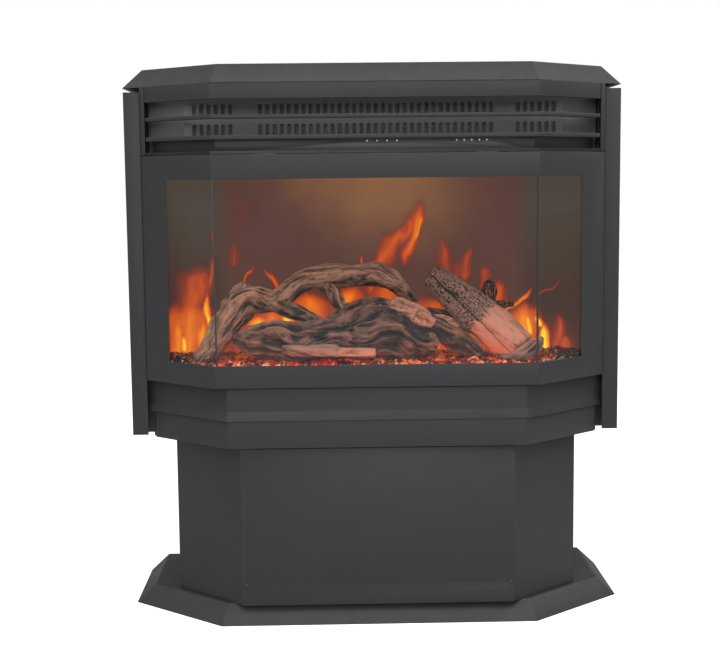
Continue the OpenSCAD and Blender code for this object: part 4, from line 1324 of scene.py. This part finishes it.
@dataclass
class Pedestal:
    """Plinth and folded pedestal."""

    pan_edge: float = 0.9
    sheet_edge: float = 0.45

    def build(self) -> None:
        """Rounds the folds of each panel."""
        fold("plinth", Finishes.coat, self.pan_edge)
        for side in ("left", "right", "back", "front"):
            fold(f"pedestal_{side}_panel", Finishes.coat, self.sheet_edge)


@dataclass(frozen=True)
class SlotRow:
    """A row of pressed air slots: groups of first and last edge along X, and the face they stand on."""

    name: str
    groups: tuple[tuple[float, float], ...]
    low: float
    height: float
    width: float
    face_y: float
    pitch: float = 10.0

    def centres(self) -> Array:
        """Middles of the slots, in metres."""
        xs = [x for start, end in self.groups for x in np.arange(start + self.pitch / 2, end, self.pitch)]
        return np.array([(x, self.face_y, self.low + self.height / 2) for x in xs]) * MM


OUTLET_GROUPS = ((-253.0, -191.0), (-162.0, 168.0), (195.0, 257.0))
SLOT_ROWS: tuple[SlotRow, ...] = (
    SlotRow("outlet_rims_lower", OUTLET_GROUPS, 678.0, 15.0, 5.0, -69.0),
    SlotRow("outlet_rims_upper", OUTLET_GROUPS, 706.7, 13.7, 5.0, -69.0),
    SlotRow("rear_rims_blower", ((-150.0, 150.0),), 673.0, 52.0, 4.0, 132.0),
    SlotRow("rear_rims_base", ((-60.0, 60.0),), 264.0, 30.0, 4.0, 132.0),
)


@dataclass
class Casing:
    """Outer panels, chassis and cap."""

    pan_edge: float = 0.9
    sheet_edge: float = 0.45
    lip_edge: float = 0.8
    rim_mm: float = 0.55
    wire_mm: float = 0.42
    mesh_half: float = 259.0
    mesh_pitch: float = 1.5
    mesh_y: float = -66.4
    mesh_levels: tuple[float, float] = (674.0, 724.0)

    def build(self) -> None:
        """Rounds what shows outside and dresses what is hidden."""
        fold("cap", Finishes.coat, self.pan_edge)
        fold("valance", Finishes.coat, self.lip_edge)
        for node in ("apron", "left_side_panel", "right_side_panel"):
            fold(node, Finishes.coat, self.sheet_edge)
        for node in ("louvre_fascia", "louvre_end_posts"):
            fold(node, Finishes.coat, self.sheet_edge)
        fold("louvre_blades", Finishes.coat, 1.3, 3)
        dress(Finishes.coat, "rear_panel")
        # The grille wears the lighter coat, which is painted light in the shaded recess.
        dress(Finishes.painted_light_coat, "outlet_grille")
        dress(Finishes.inner_coat, "firebox_ceiling", "firebox_left_liner", "firebox_right_liner")
        dress(Finishes.sheet, "base_plate", "top_panel", "firebox_floor")
        for side in ("left", "right"):
            fold(f"chassis_{side}_wall", Finishes.coat, self.sheet_edge)
        for row in SLOT_ROWS:
            self._slot_rims(row)
        self._outlet_mesh()


    def _outlet_mesh(self) -> None:
        """Stretches a fine woven wire mesh behind the outlet slots."""
        low, high = self.mesh_levels
        recipe = Recipe("outlet_mesh", Wire=("NodeSocketFloat", self.wire_mm * MM))
        tree, given = recipe.tree, recipe.given
        wires = tree.add("GeometryNodeMeshToCurve", {"Mesh": given["Geometry"]})
        section = tree.add("GeometryNodeCurvePrimitiveCircle", {"Resolution": 4, "Radius": given["Wire"]})
        swept = tree.add("GeometryNodeCurveToMesh",
                         {"Curve": wires.outputs[0], "Profile Curve": section.outputs[0],
                                                     "Fill Caps": True})
        # The wire wears the light grey coat, which is painted light in the shaded slots.
        recipe.close(swept.outputs[0], Finishes.wire)
        ends: list[tuple[float, float, float]] = []
        for x in np.arange(-self.mesh_half, self.mesh_half, self.mesh_pitch):
            ends += [(x, self.mesh_y, low), (x, self.mesh_y, high)]
        for z in np.arange(low + 1.0, high, self.mesh_pitch):
            ends += [(-self.mesh_half, self.mesh_y + 0.7, z), (self.mesh_half, self.mesh_y + 0.7, z)]
        edges = [(2 * i, 2 * i + 1) for i in range(len(ends) // 2)]
        put(recipe.run("outlet_mesh", np.array(ends) * MM, edges=edges), CASING, Finishes.wire)

    def _slot_rims(self, row: SlotRow) -> None:
        """Sets a raised rim round every slot of a row.

        Args:
            row: The row of slots.
        """
        recipe = Recipe(row.name, Width=("NodeSocketFloat", (row.width + self.rim_mm) * MM),
                        Height=("NodeSocketFloat", (row.height + self.rim_mm) * MM),
                        Rim=("NodeSocketFloat", self.rim_mm * MM))
        tree, given = recipe.tree, recipe.given
        outline = tree.add("GeometryNodeCurvePrimitiveQuadrilateral", {"Width": given["Width"],
                                                                       "Height": given["Height"]})
        corner = tree.math("MULTIPLY", given["Width"], 0.42)
        rounded = tree.add("GeometryNodeFilletCurve",
                           {"Curve": outline.outputs[0], "Count": 3, "Radius": corner},
                           mode="POLY")
        wire = tree.add("GeometryNodeCurvePrimitiveCircle", {"Resolution": 5, "Radius": given["Rim"]})
        rim = tree.add("GeometryNodeCurveToMesh",
                       {"Curve": rounded.outputs[0], "Profile Curve": wire.outputs[0]})
        upright = tree.add("GeometryNodeTransform", {"Geometry": rim.outputs[0],
                                                     "Rotation": (math.pi / 2, 0.0, 0.0)})
        placed = tree.add("GeometryNodeInstanceOnPoints", {"Points": given["Geometry"],
                                                           "Instance": upright.outputs[0]})
        # Front rims wear the lighter coat, which is painted light in the shaded recess; rear rims keep the
        # body coat.
        finish = Finishes.painted_light_coat if row.face_y < 0 else Finishes.coat
        recipe.close(placed.outputs[0], finish)
        put(recipe.run(row.name, row.centres()), CASING, finish)


@dataclass
class Window:
    """Lift-out bay window."""

    frame_edge: float = 0.6
    bead_swell: float = 0.8

    def build(self) -> None:
        """Rounds the frame and dresses the glass, seals and clips."""
        fold("window_frame", Finishes.coat, self.frame_edge, body=WINDOW)
        dress(Finishes.glass, "front_glass", "left_glass", "right_glass")
        self._beads()
        dress(Finishes.sheet, "glass_clips")
        dress(Finishes.magnet, "window_magnets")

    def _beads(self) -> None:
        """Fattens the silicone beads between the panes so that they overlap the glass a little."""
        beads = merged_copy("glass_seals")
        points = np.array([vertex.co for vertex in beads.data.vertices])
        normals = np.array([vertex.normal for vertex in beads.data.vertices])
        beads.data.vertices.foreach_set("co", (points + normals * self.bead_swell * MM).ravel())
        put(beads, WINDOW, Finishes.seal, "glass_seals")


@dataclass
class Screws:
    """Pan-head screws with a cross recess on the pedestal and the rear panel."""

    head_radius: float = 3.4
    head_height: float = 2.0
    shank_radius: float = 1.8
    shank_length: float = 8.0
    recess_width: float = 0.8
    recess_depth: float = 1.1
    pedestal_seats: tuple[tuple[float, float, float], ...] = ((-185, -128, 54), (185, -128, 54))
    rear_x: float = 309.0
    rear_y: float = 132.0
    rear_levels: tuple[float, ...] = (274.0, 420.0, 570.0, 720.0)

    def build(self) -> None:
        """Sets a screw on every seat."""
        rear = [(side * self.rear_x, self.rear_y, z) for side in (-1, 1) for z in self.rear_levels]
        front = self._recipe("pedestal_screws", math.pi / 2).run("pedestal_screws",
                                                                 np.array(self.pedestal_seats) * MM)
        put(front, CASING, Finishes.screw, "casing_screws")
        back = self._recipe("rear_screws", -math.pi / 2).run("rear_screws", np.array(rear) * MM)
        put(back, CASING, Finishes.screw)

    def _recipe(self, name: str, facing: float) -> Recipe:
        """Tree that makes one screw and sets it on every point.

        Args:
            name: Name of the tree.
            facing: Turn about X from pointing up to pointing out.

        Returns:
            The recipe.
        """
        recipe = Recipe(name, Head_Radius=("NodeSocketFloat", self.head_radius * MM),
                        Head_Height=("NodeSocketFloat", self.head_height * MM),
                        Shank_Radius=("NodeSocketFloat", self.shank_radius * MM),
                        Shank_Length=("NodeSocketFloat", self.shank_length * MM),
                        Recess_Width=("NodeSocketFloat", self.recess_width * MM),
                        Recess_Depth=("NodeSocketFloat", self.recess_depth * MM))
        tree, given = recipe.tree, recipe.given
        ball = tree.add("GeometryNodeMeshUVSphere", {"Radius": 1.0, "Segments": 28, "Rings": 20})
        dome_size = tree.add("ShaderNodeCombineXYZ", {0: given["Head Radius"], 1: given["Head Radius"],
                                                      2: given["Head Height"]})
        dome = tree.add("GeometryNodeTransform", {"Geometry": ball.outputs[0],
                                                  "Scale": dome_size.outputs[0]})
        over = tree.math("MULTIPLY", given["Head Height"], 2.0)
        block = self._block(tree, tree.math("MULTIPLY", given["Head Radius"], 4.0),
                            tree.math("MULTIPLY", given["Head Radius"], 4.0), over,
                            tree.math("MULTIPLY", given["Head Height"], -1.0))
        arm = tree.math("MULTIPLY", given["Head Radius"], 1.15)
        level = tree.math("ADD", given["Head Height"],
                          tree.math("SUBTRACT", tree.math("MULTIPLY", over, 0.5), given["Recess Depth"]))
        long_x = self._block(tree, arm, given["Recess Width"], over, level)
        long_y = self._block(tree, given["Recess Width"], arm, over, level)
        head = tree.add("GeometryNodeMeshBoolean", {0: dome.outputs[0]}, operation="DIFFERENCE")
        for tool in (block, long_x, long_y):
            tree.tree.links.new(tool, head.inputs[1])
        shank = tree.add("GeometryNodeMeshCylinder", {"Vertices": 20, "Radius": given["Shank Radius"],
                                                      "Depth": given["Shank Length"]})
        drop = tree.add("ShaderNodeCombineXYZ", {2: tree.math("MULTIPLY", given["Shank Length"], -0.5)})
        sunk = tree.add("GeometryNodeTransform", {"Geometry": shank.outputs[0],
                                                  "Translation": drop.outputs[0]})
        screw = tree.add("GeometryNodeJoinGeometry")
        for part in (head.outputs[0], sunk.outputs[0]):
            tree.tree.links.new(part, screw.inputs[0])
        outward = tree.add("GeometryNodeTransform",
                           {"Geometry": screw.outputs[0], "Rotation": (facing, 0.0, 0.0)})
        placed = tree.add("GeometryNodeInstanceOnPoints", {"Points": given["Geometry"],
                                                           "Instance": outward.outputs[0]})
        recipe.close(placed.outputs[0], Finishes.screw)
        return recipe

    @staticmethod
    def _block(tree: Tree, wide: object, deep: object, high: object, level: object) -> bpy.types.NodeSocket:
        """Adds a block of the given size whose middle is at a level."""
        size = tree.add("ShaderNodeCombineXYZ", {0: wide, 1: deep, 2: high})
        cube = tree.add("GeometryNodeMeshCube", {"Size": size.outputs[0]})
        lift = tree.add("ShaderNodeCombineXYZ", {2: level})
        return tree.add("GeometryNodeTransform", {"Geometry": cube.outputs[0],
                                                  "Translation": lift.outputs[0]}).outputs[0]


@dataclass(frozen=True)
class Reel:
    """A turning part: bent vanes in rings round a shaft that lies along X. Millimetres."""

    name: str
    middle: tuple[float, float, float]
    rings: int
    vanes: int
    vane_length: float
    vane_depth: float
    vane_reach: float
    vane_thickness: float
    bend: float
    lean: float
    ring_turn: float
    pitch: float
    shaft_radius: float
    shaft_length: float
    shaft_offset: float
    disc_radius: float
    discs: int
    disc_thickness: float
    disc_span: float

    def build(self, body: str, finish: Finish, node: str) -> bpy.types.Object:
        """Makes the reel.

        Args:
            body: The body it turns with.
            finish: Its finish.
            node: The CAD node it replaces.

        Returns:
            The reel.
        """
        recipe = Recipe(self.name, Rings=("NodeSocketInt", self.rings), Vanes=("NodeSocketInt", self.vanes),
                        Bend=("NodeSocketFloat", self.bend * MM), Lean=("NodeSocketFloat", self.lean),
                        Pitch=("NodeSocketFloat", self.pitch * MM),
                        Ring_Turn=("NodeSocketFloat", self.ring_turn),
                        Shaft_Radius=("NodeSocketFloat", self.shaft_radius * MM),
                        Disc_Radius=("NodeSocketFloat", self.disc_radius * MM))
        tree, given = recipe.tree, recipe.given
        vane = self._vane(tree, given)
        index = tree.add("GeometryNodeInputIndex").outputs[0]
        step = tree.math("DIVIDE", 2 * math.pi, given["Vanes"])
        hub = tree.add("GeometryNodeMeshLine", {"Count": given["Vanes"], "Offset": (0.0, 0.0, 0.0)})
        spin = tree.add("ShaderNodeCombineXYZ", {0: tree.math("MULTIPLY", index, step)})
        ring = tree.add("GeometryNodeInstanceOnPoints", {"Points": hub.outputs[0], "Instance": vane,
                                                         "Rotation": spin.outputs[0]})
        start = tree.math("MULTIPLY", tree.math("SUBTRACT", given["Rings"], 1.0),
                          tree.math("MULTIPLY", given["Pitch"], -0.5))
        first = tree.add("ShaderNodeCombineXYZ", {0: start})
        apart = tree.add("ShaderNodeCombineXYZ", {0: given["Pitch"]})
        line = tree.add("GeometryNodeMeshLine", {"Count": given["Rings"],
                                                 "Start Location": first.outputs[0],
                                                 "Offset": apart.outputs[0]})
        turn = tree.add("ShaderNodeCombineXYZ", {0: tree.math("MULTIPLY", index, given["Ring Turn"])})
        rows = tree.add("GeometryNodeInstanceOnPoints",
                        {"Points": line.outputs[0], "Instance": ring.outputs[0],
                                                         "Rotation": turn.outputs[0]})
        whole = tree.add("GeometryNodeJoinGeometry")
        for part in (rows.outputs[0], self._rod(tree, given["Shaft Radius"], self.shaft_length,
                                                self.shaft_offset),
                     self._discs(tree, given["Disc Radius"])):
            tree.tree.links.new(part, whole.inputs[0])
        placed = tree.add("GeometryNodeTransform", {"Geometry": whole.outputs[0],
                                                    "Translation": tuple(v * MM for v in self.middle)})
        recipe.close(placed.outputs[0], finish)
        return put(recipe.run(self.name, np.zeros((1, 3))), body, finish, node)

    def _vane(self, tree: Tree, given: dict) -> bpy.types.NodeSocket:
        """One vane, bent across its depth and leant over."""
        size = (self.vane_length * MM, self.vane_thickness * MM, self.vane_depth * MM)
        sheet = tree.add("GeometryNodeMeshCube", {"Size": size, "Vertices X": 5, "Vertices Y": 2,
                                                  "Vertices Z": 6})
        place = tree.add("GeometryNodeInputPosition").outputs[0]
        parts = tree.add("ShaderNodeSeparateXYZ", {0: place}).outputs
        across = tree.math("DIVIDE", parts[2], self.vane_depth * MM / 2)
        bow = tree.math("MULTIPLY", tree.math("SUBTRACT", 1.0, tree.math("MULTIPLY", across, across)),
                        given["Bend"])
        bent = tree.add("GeometryNodeSetPosition", {
            "Geometry": sheet.outputs[0], "Offset": tree.add("ShaderNodeCombineXYZ", {1: bow}).outputs[0]})
        tilt = tree.add("ShaderNodeCombineXYZ", {0: given["Lean"]})
        out = (self.vane_reach - self.vane_depth / 2) * MM
        return tree.add("GeometryNodeTransform", {"Geometry": bent.outputs[0], "Rotation": tilt.outputs[0],
                                                  "Translation": (0.0, 0.0, out)}).outputs[0]

    @staticmethod
    def _rod(tree: Tree, radius: object, length: float, offset: float) -> bpy.types.NodeSocket:
        """A round rod along X."""
        rod = tree.add("GeometryNodeMeshCylinder", {"Vertices": 24, "Radius": radius, "Depth": length * MM})
        return tree.add("GeometryNodeTransform", {"Geometry": rod.outputs[0],
                                                  "Rotation": (0.0, math.pi / 2, 0.0),
                                                  "Translation": (offset * MM, 0.0, 0.0)}).outputs[0]

    def _discs(self, tree: Tree, radius: object) -> bpy.types.NodeSocket:
        """Thin discs spread evenly along the shaft."""
        disc = self._rod(tree, radius, self.disc_thickness, 0.0)
        gap = self.disc_span / max(self.discs - 1, 1)
        line = tree.add("GeometryNodeMeshLine", {"Count": self.discs, "Offset": (gap * MM, 0.0, 0.0),
                                                 "Start Location": (-self.disc_span / 2 * MM, 0.0, 0.0)})
        return tree.add("GeometryNodeInstanceOnPoints",
                        {"Points": line.outputs[0], "Instance": disc}).outputs[0]


@dataclass
class FlameDrive:
    """Screen, mirrored rotor and what turns it."""

    rotor: Reel = Reel("mirror_rotor", (0, 62, 385), 17, 4, 30, 17, 21.5, 0.6, 2.4, 0.12, math.radians(35),
                       32.9,
                       3.0, 588, 3, 5.0, 2, 280, 280)

    def build(self) -> None:
        """Makes the rotor and dresses the rest of the drive."""
        dress(Finishes.flames, "flame_screen")
        self.rotor.build(ROTOR, Finishes.mirror, "flame_rotor")
        dress(Finishes.sheet, "rotor_brackets")
        dress(Finishes.brass, "rotor_bushes")
        dress(Finishes.motor, "rotor_motor")
        dress(Finishes.board, "flame_light_board")


@dataclass
class Heater:
    """Blower, duct and heating elements."""

    wheel: Reel = Reel("blower_vanes", (0, 45, 699), 1, 24, 314, 7, 29.5, 0.6, 0.9, math.radians(35), 0.0,
                       1.0,
                       3.0, 336, 3, 30.0, 4, 1.2, 312.8)
    fin_radius: float = 3.9
    fin_gap: float = 6.0
    element_levels: tuple[float, ...] = (685.0, 694.0, 704.0, 713.0)
    element_rows: tuple[float, ...] = (-56.0, -42.0)
    element_half: float = 156.0

    def build(self) -> None:
        """Makes the wheel and the fins, and dresses the blower."""
        # Blower housing and heater frame wear the darkened sheet, which is painted shade inside the casing.
        dress(Finishes.duct, "blower_housing", "heater_frame")
        self.wheel.build(WHEEL, Finishes.alloy, "blower_wheel")
        dress(Finishes.motor, "blower_motor")
        dress(Finishes.coil, "heater_elements")
        self._fins()
        dress(Finishes.plastic, "thermal_cutout")


    def _fins(self) -> None:
        """Threads thin fins on every heating element."""
        xs = np.arange(-self.element_half, self.element_half, self.fin_gap)
        seats = np.array([(x, y, z) for z in self.element_levels for y in self.element_rows for x in xs]) * MM
        recipe = Recipe("element_fins", Fin_Radius=("NodeSocketFloat", self.fin_radius * MM),
                        Fin_Thickness=("NodeSocketFloat", 0.4 * MM))
        tree, given = recipe.tree, recipe.given
        fin = tree.add("GeometryNodeMeshCylinder", {"Vertices": 12, "Radius": given["Fin Radius"],
                                                    "Depth": given["Fin Thickness"]})
        upright = tree.add("GeometryNodeTransform",
                           {"Geometry": fin.outputs[0], "Rotation": (0.0, math.pi / 2, 0.0)})
        placed = tree.add("GeometryNodeInstanceOnPoints", {"Points": given["Geometry"],
                                                           "Instance": upright.outputs[0]})
        # The fins wear the darkened sheet, which is painted shade inside the casing.
        recipe.close(placed.outputs[0], Finishes.duct)
        put(recipe.run("element_fins", seats), CASING, Finishes.duct)


@dataclass
class Electrics:
    """Boards, switch and touch controls."""

    def build(self) -> None:
        """Dresses the electrics."""
        fold("control_strip", Finishes.plastic, 0.4)
        dress(Finishes.lamp, "status_lamps")
        dress(Finishes.board, "touch_board", "control_board")
        dress(Finishes.sheet, "power_supply")
        dress(Finishes.plastic, "cord_gland")
        fold("switch_bezel", Finishes.plastic, 0.7)
        fold("power_rocker", Finishes.rocker, 0.5, 3, ROCKER)


# ---------------------------------------------------------------- studio

@dataclass
class Studio:
    """Camera, pale floor, soft lights and surroundings."""

    eye: tuple[float, float, float] = (-0.05745, -1.93063, 0.62334)
    pitch: float = -6.65
    yaw: float = -1.09
    roll: float = -0.6
    lens_mm: float = 66.5
    surround: float = 0.36
    floor_size: float = 40.0

    def build(self) -> None:
        """Sets up the studio."""
        self._camera()
        self._floor()
        self._world()
        self._soft_box("key_light", (-0.6, -4.2, 2.0), (0.0, 0.0, 0.55), 1.8, 82.0, (1.0, 1.0, 1.0))
        self._soft_box("left_light", (-2.6, 0.0, 2.6), (0.0, 0.0, 0.4), 1.6, 27.0, (1.0, 1.0, 1.0))
        self._soft_box("right_light", (2.6, 0.0, 2.6), (0.0, 0.0, 0.4), 1.6, 50.0, (0.97, 0.98, 1.0))
        self._soft_box("top_light", (0.3, -1.5, 3.2), (0.0, -0.1, 0.2), 2.4, 78.0, (1.0, 1.0, 1.0))
        self._soft_box("ember_light", (0.0, -0.085, 0.372), (0.0, -0.03, 0.9), 0.12, 0.22,
                       (1.0, 0.20, 0.05), 0.42)
        view = bpy.context.scene.view_settings
        view.view_transform = "Standard"
        view.look = "None"

    def _camera(self) -> None:
        """Makes the camera at its measured place."""
        pitch, yaw, roll = (math.radians(a) for a in (self.pitch, self.yaw, self.roll))
        turn = Matrix.Rotation(yaw, 3, "Z") @ Matrix.Rotation(pitch, 3, "X")
        right, ahead, up = (turn.col[n].copy() for n in range(3))
        tilted_right = math.cos(roll) * right + math.sin(roll) * up
        tilted_up = math.cos(roll) * up - math.sin(roll) * right
        camera = bpy.data.objects.new("camera", bpy.data.cameras.new("camera"))
        camera.data.lens = self.lens_mm
        camera.data.sensor_width = 36.0
        camera.data.clip_end = 100.0
        turned = Matrix((tilted_right, tilted_up, -ahead)).transposed()
        camera.matrix_world = Matrix.Translation(self.eye) @ turned.to_4x4()
        bpy.context.scene.collection.objects.link(camera)
        bpy.context.scene.camera = camera

    def _floor(self) -> None:
        """Makes the pale floor."""
        half = self.floor_size / 2
        corners = np.array([(-half, -half, 0), (half, -half, 0), (half, half, 0), (-half, half, 0)], float)
        floor = mesh_object("studio_floor", corners, [(0, 1, 2, 3)])
        paper = bpy.data.materials.new("studio_paper")
        paper.use_nodes = True
        tree = Tree(paper.node_tree)
        lit = tree.add("ShaderNodeLightPath").outputs["Is Camera Ray"]
        shader = tree.add("ShaderNodeBsdfPrincipled",
                          {"Base Color": rgba((0.70, 0.70, 0.70)), "Roughness": 0.9,
                                                       "Specular IOR Level": 0.0,
                                                       "Emission Color": rgba((1.0, 1.0, 1.0)),
                                                       "Emission Strength": tree.math("MULTIPLY", lit,
                                                                                      0.75)})
        tree.feed(tree.add("ShaderNodeOutputMaterial").inputs["Surface"], shader.outputs[0])
        floor.data.materials.append(paper)

    def _world(self) -> None:
        """White seen directly, and a soft grey as light."""
        world = bpy.data.worlds.new("studio_air")
        world.use_nodes = True
        tree = Tree(world.node_tree)
        seen = tree.add("ShaderNodeLightPath").outputs["Is Camera Ray"]
        strength = tree.remap(seen, 0.0, 1.0, self.surround, 1.0)
        air = tree.add("ShaderNodeBackground", {"Color": rgba((1.0, 1.0, 1.0)), "Strength": strength})
        tree.feed(tree.add("ShaderNodeOutputWorld").inputs["Surface"], air.outputs[0])
        bpy.context.scene.world = world

    @staticmethod
    def _soft_box(name: str, place: tuple[float, float, float], target: tuple[float, float, float],
                  size: float,
                  power: float, colour: Colour, length: float = 0.0) -> None:
        """Adds an area light that faces a point.

        Args:
            name: The light's name.
            place: Its middle.
            target: The point it faces.
            size: Its size, or its depth where it is long.
            power: Its power in watts.
            colour: Its colour.
            length: Its length, where it isn't square.
        """
        lamp = bpy.data.lights.new(name, "AREA")
        lamp.energy = power
        lamp.color = colour
        lamp.shape = "RECTANGLE"
        lamp.size = length or size
        lamp.size_y = size
        holder = bpy.data.objects.new(name, lamp)
        holder.location = place
        holder.rotation_euler = (Vector(target) - Vector(place)).to_track_quat("-Z", "Y").to_euler()
        bpy.context.scene.collection.objects.link(holder)


def main() -> None:
    """Builds the studio, then every sub-assembly."""
    logging.basicConfig(level=logging.INFO, format="%(name)s: %(message)s")
    assemblies: Iterable[object] = (Studio(), Pedestal(), Casing(), Window(), Screws(), FlameDrive(),
                                    EmberBed(),
                                    LogSet(), Heater(), Electrics())
    for assembly in assemblies:
        LOG.info("-- %s", type(assembly).__name__)
        assembly.build()


if __name__ == "__main__":
    main()
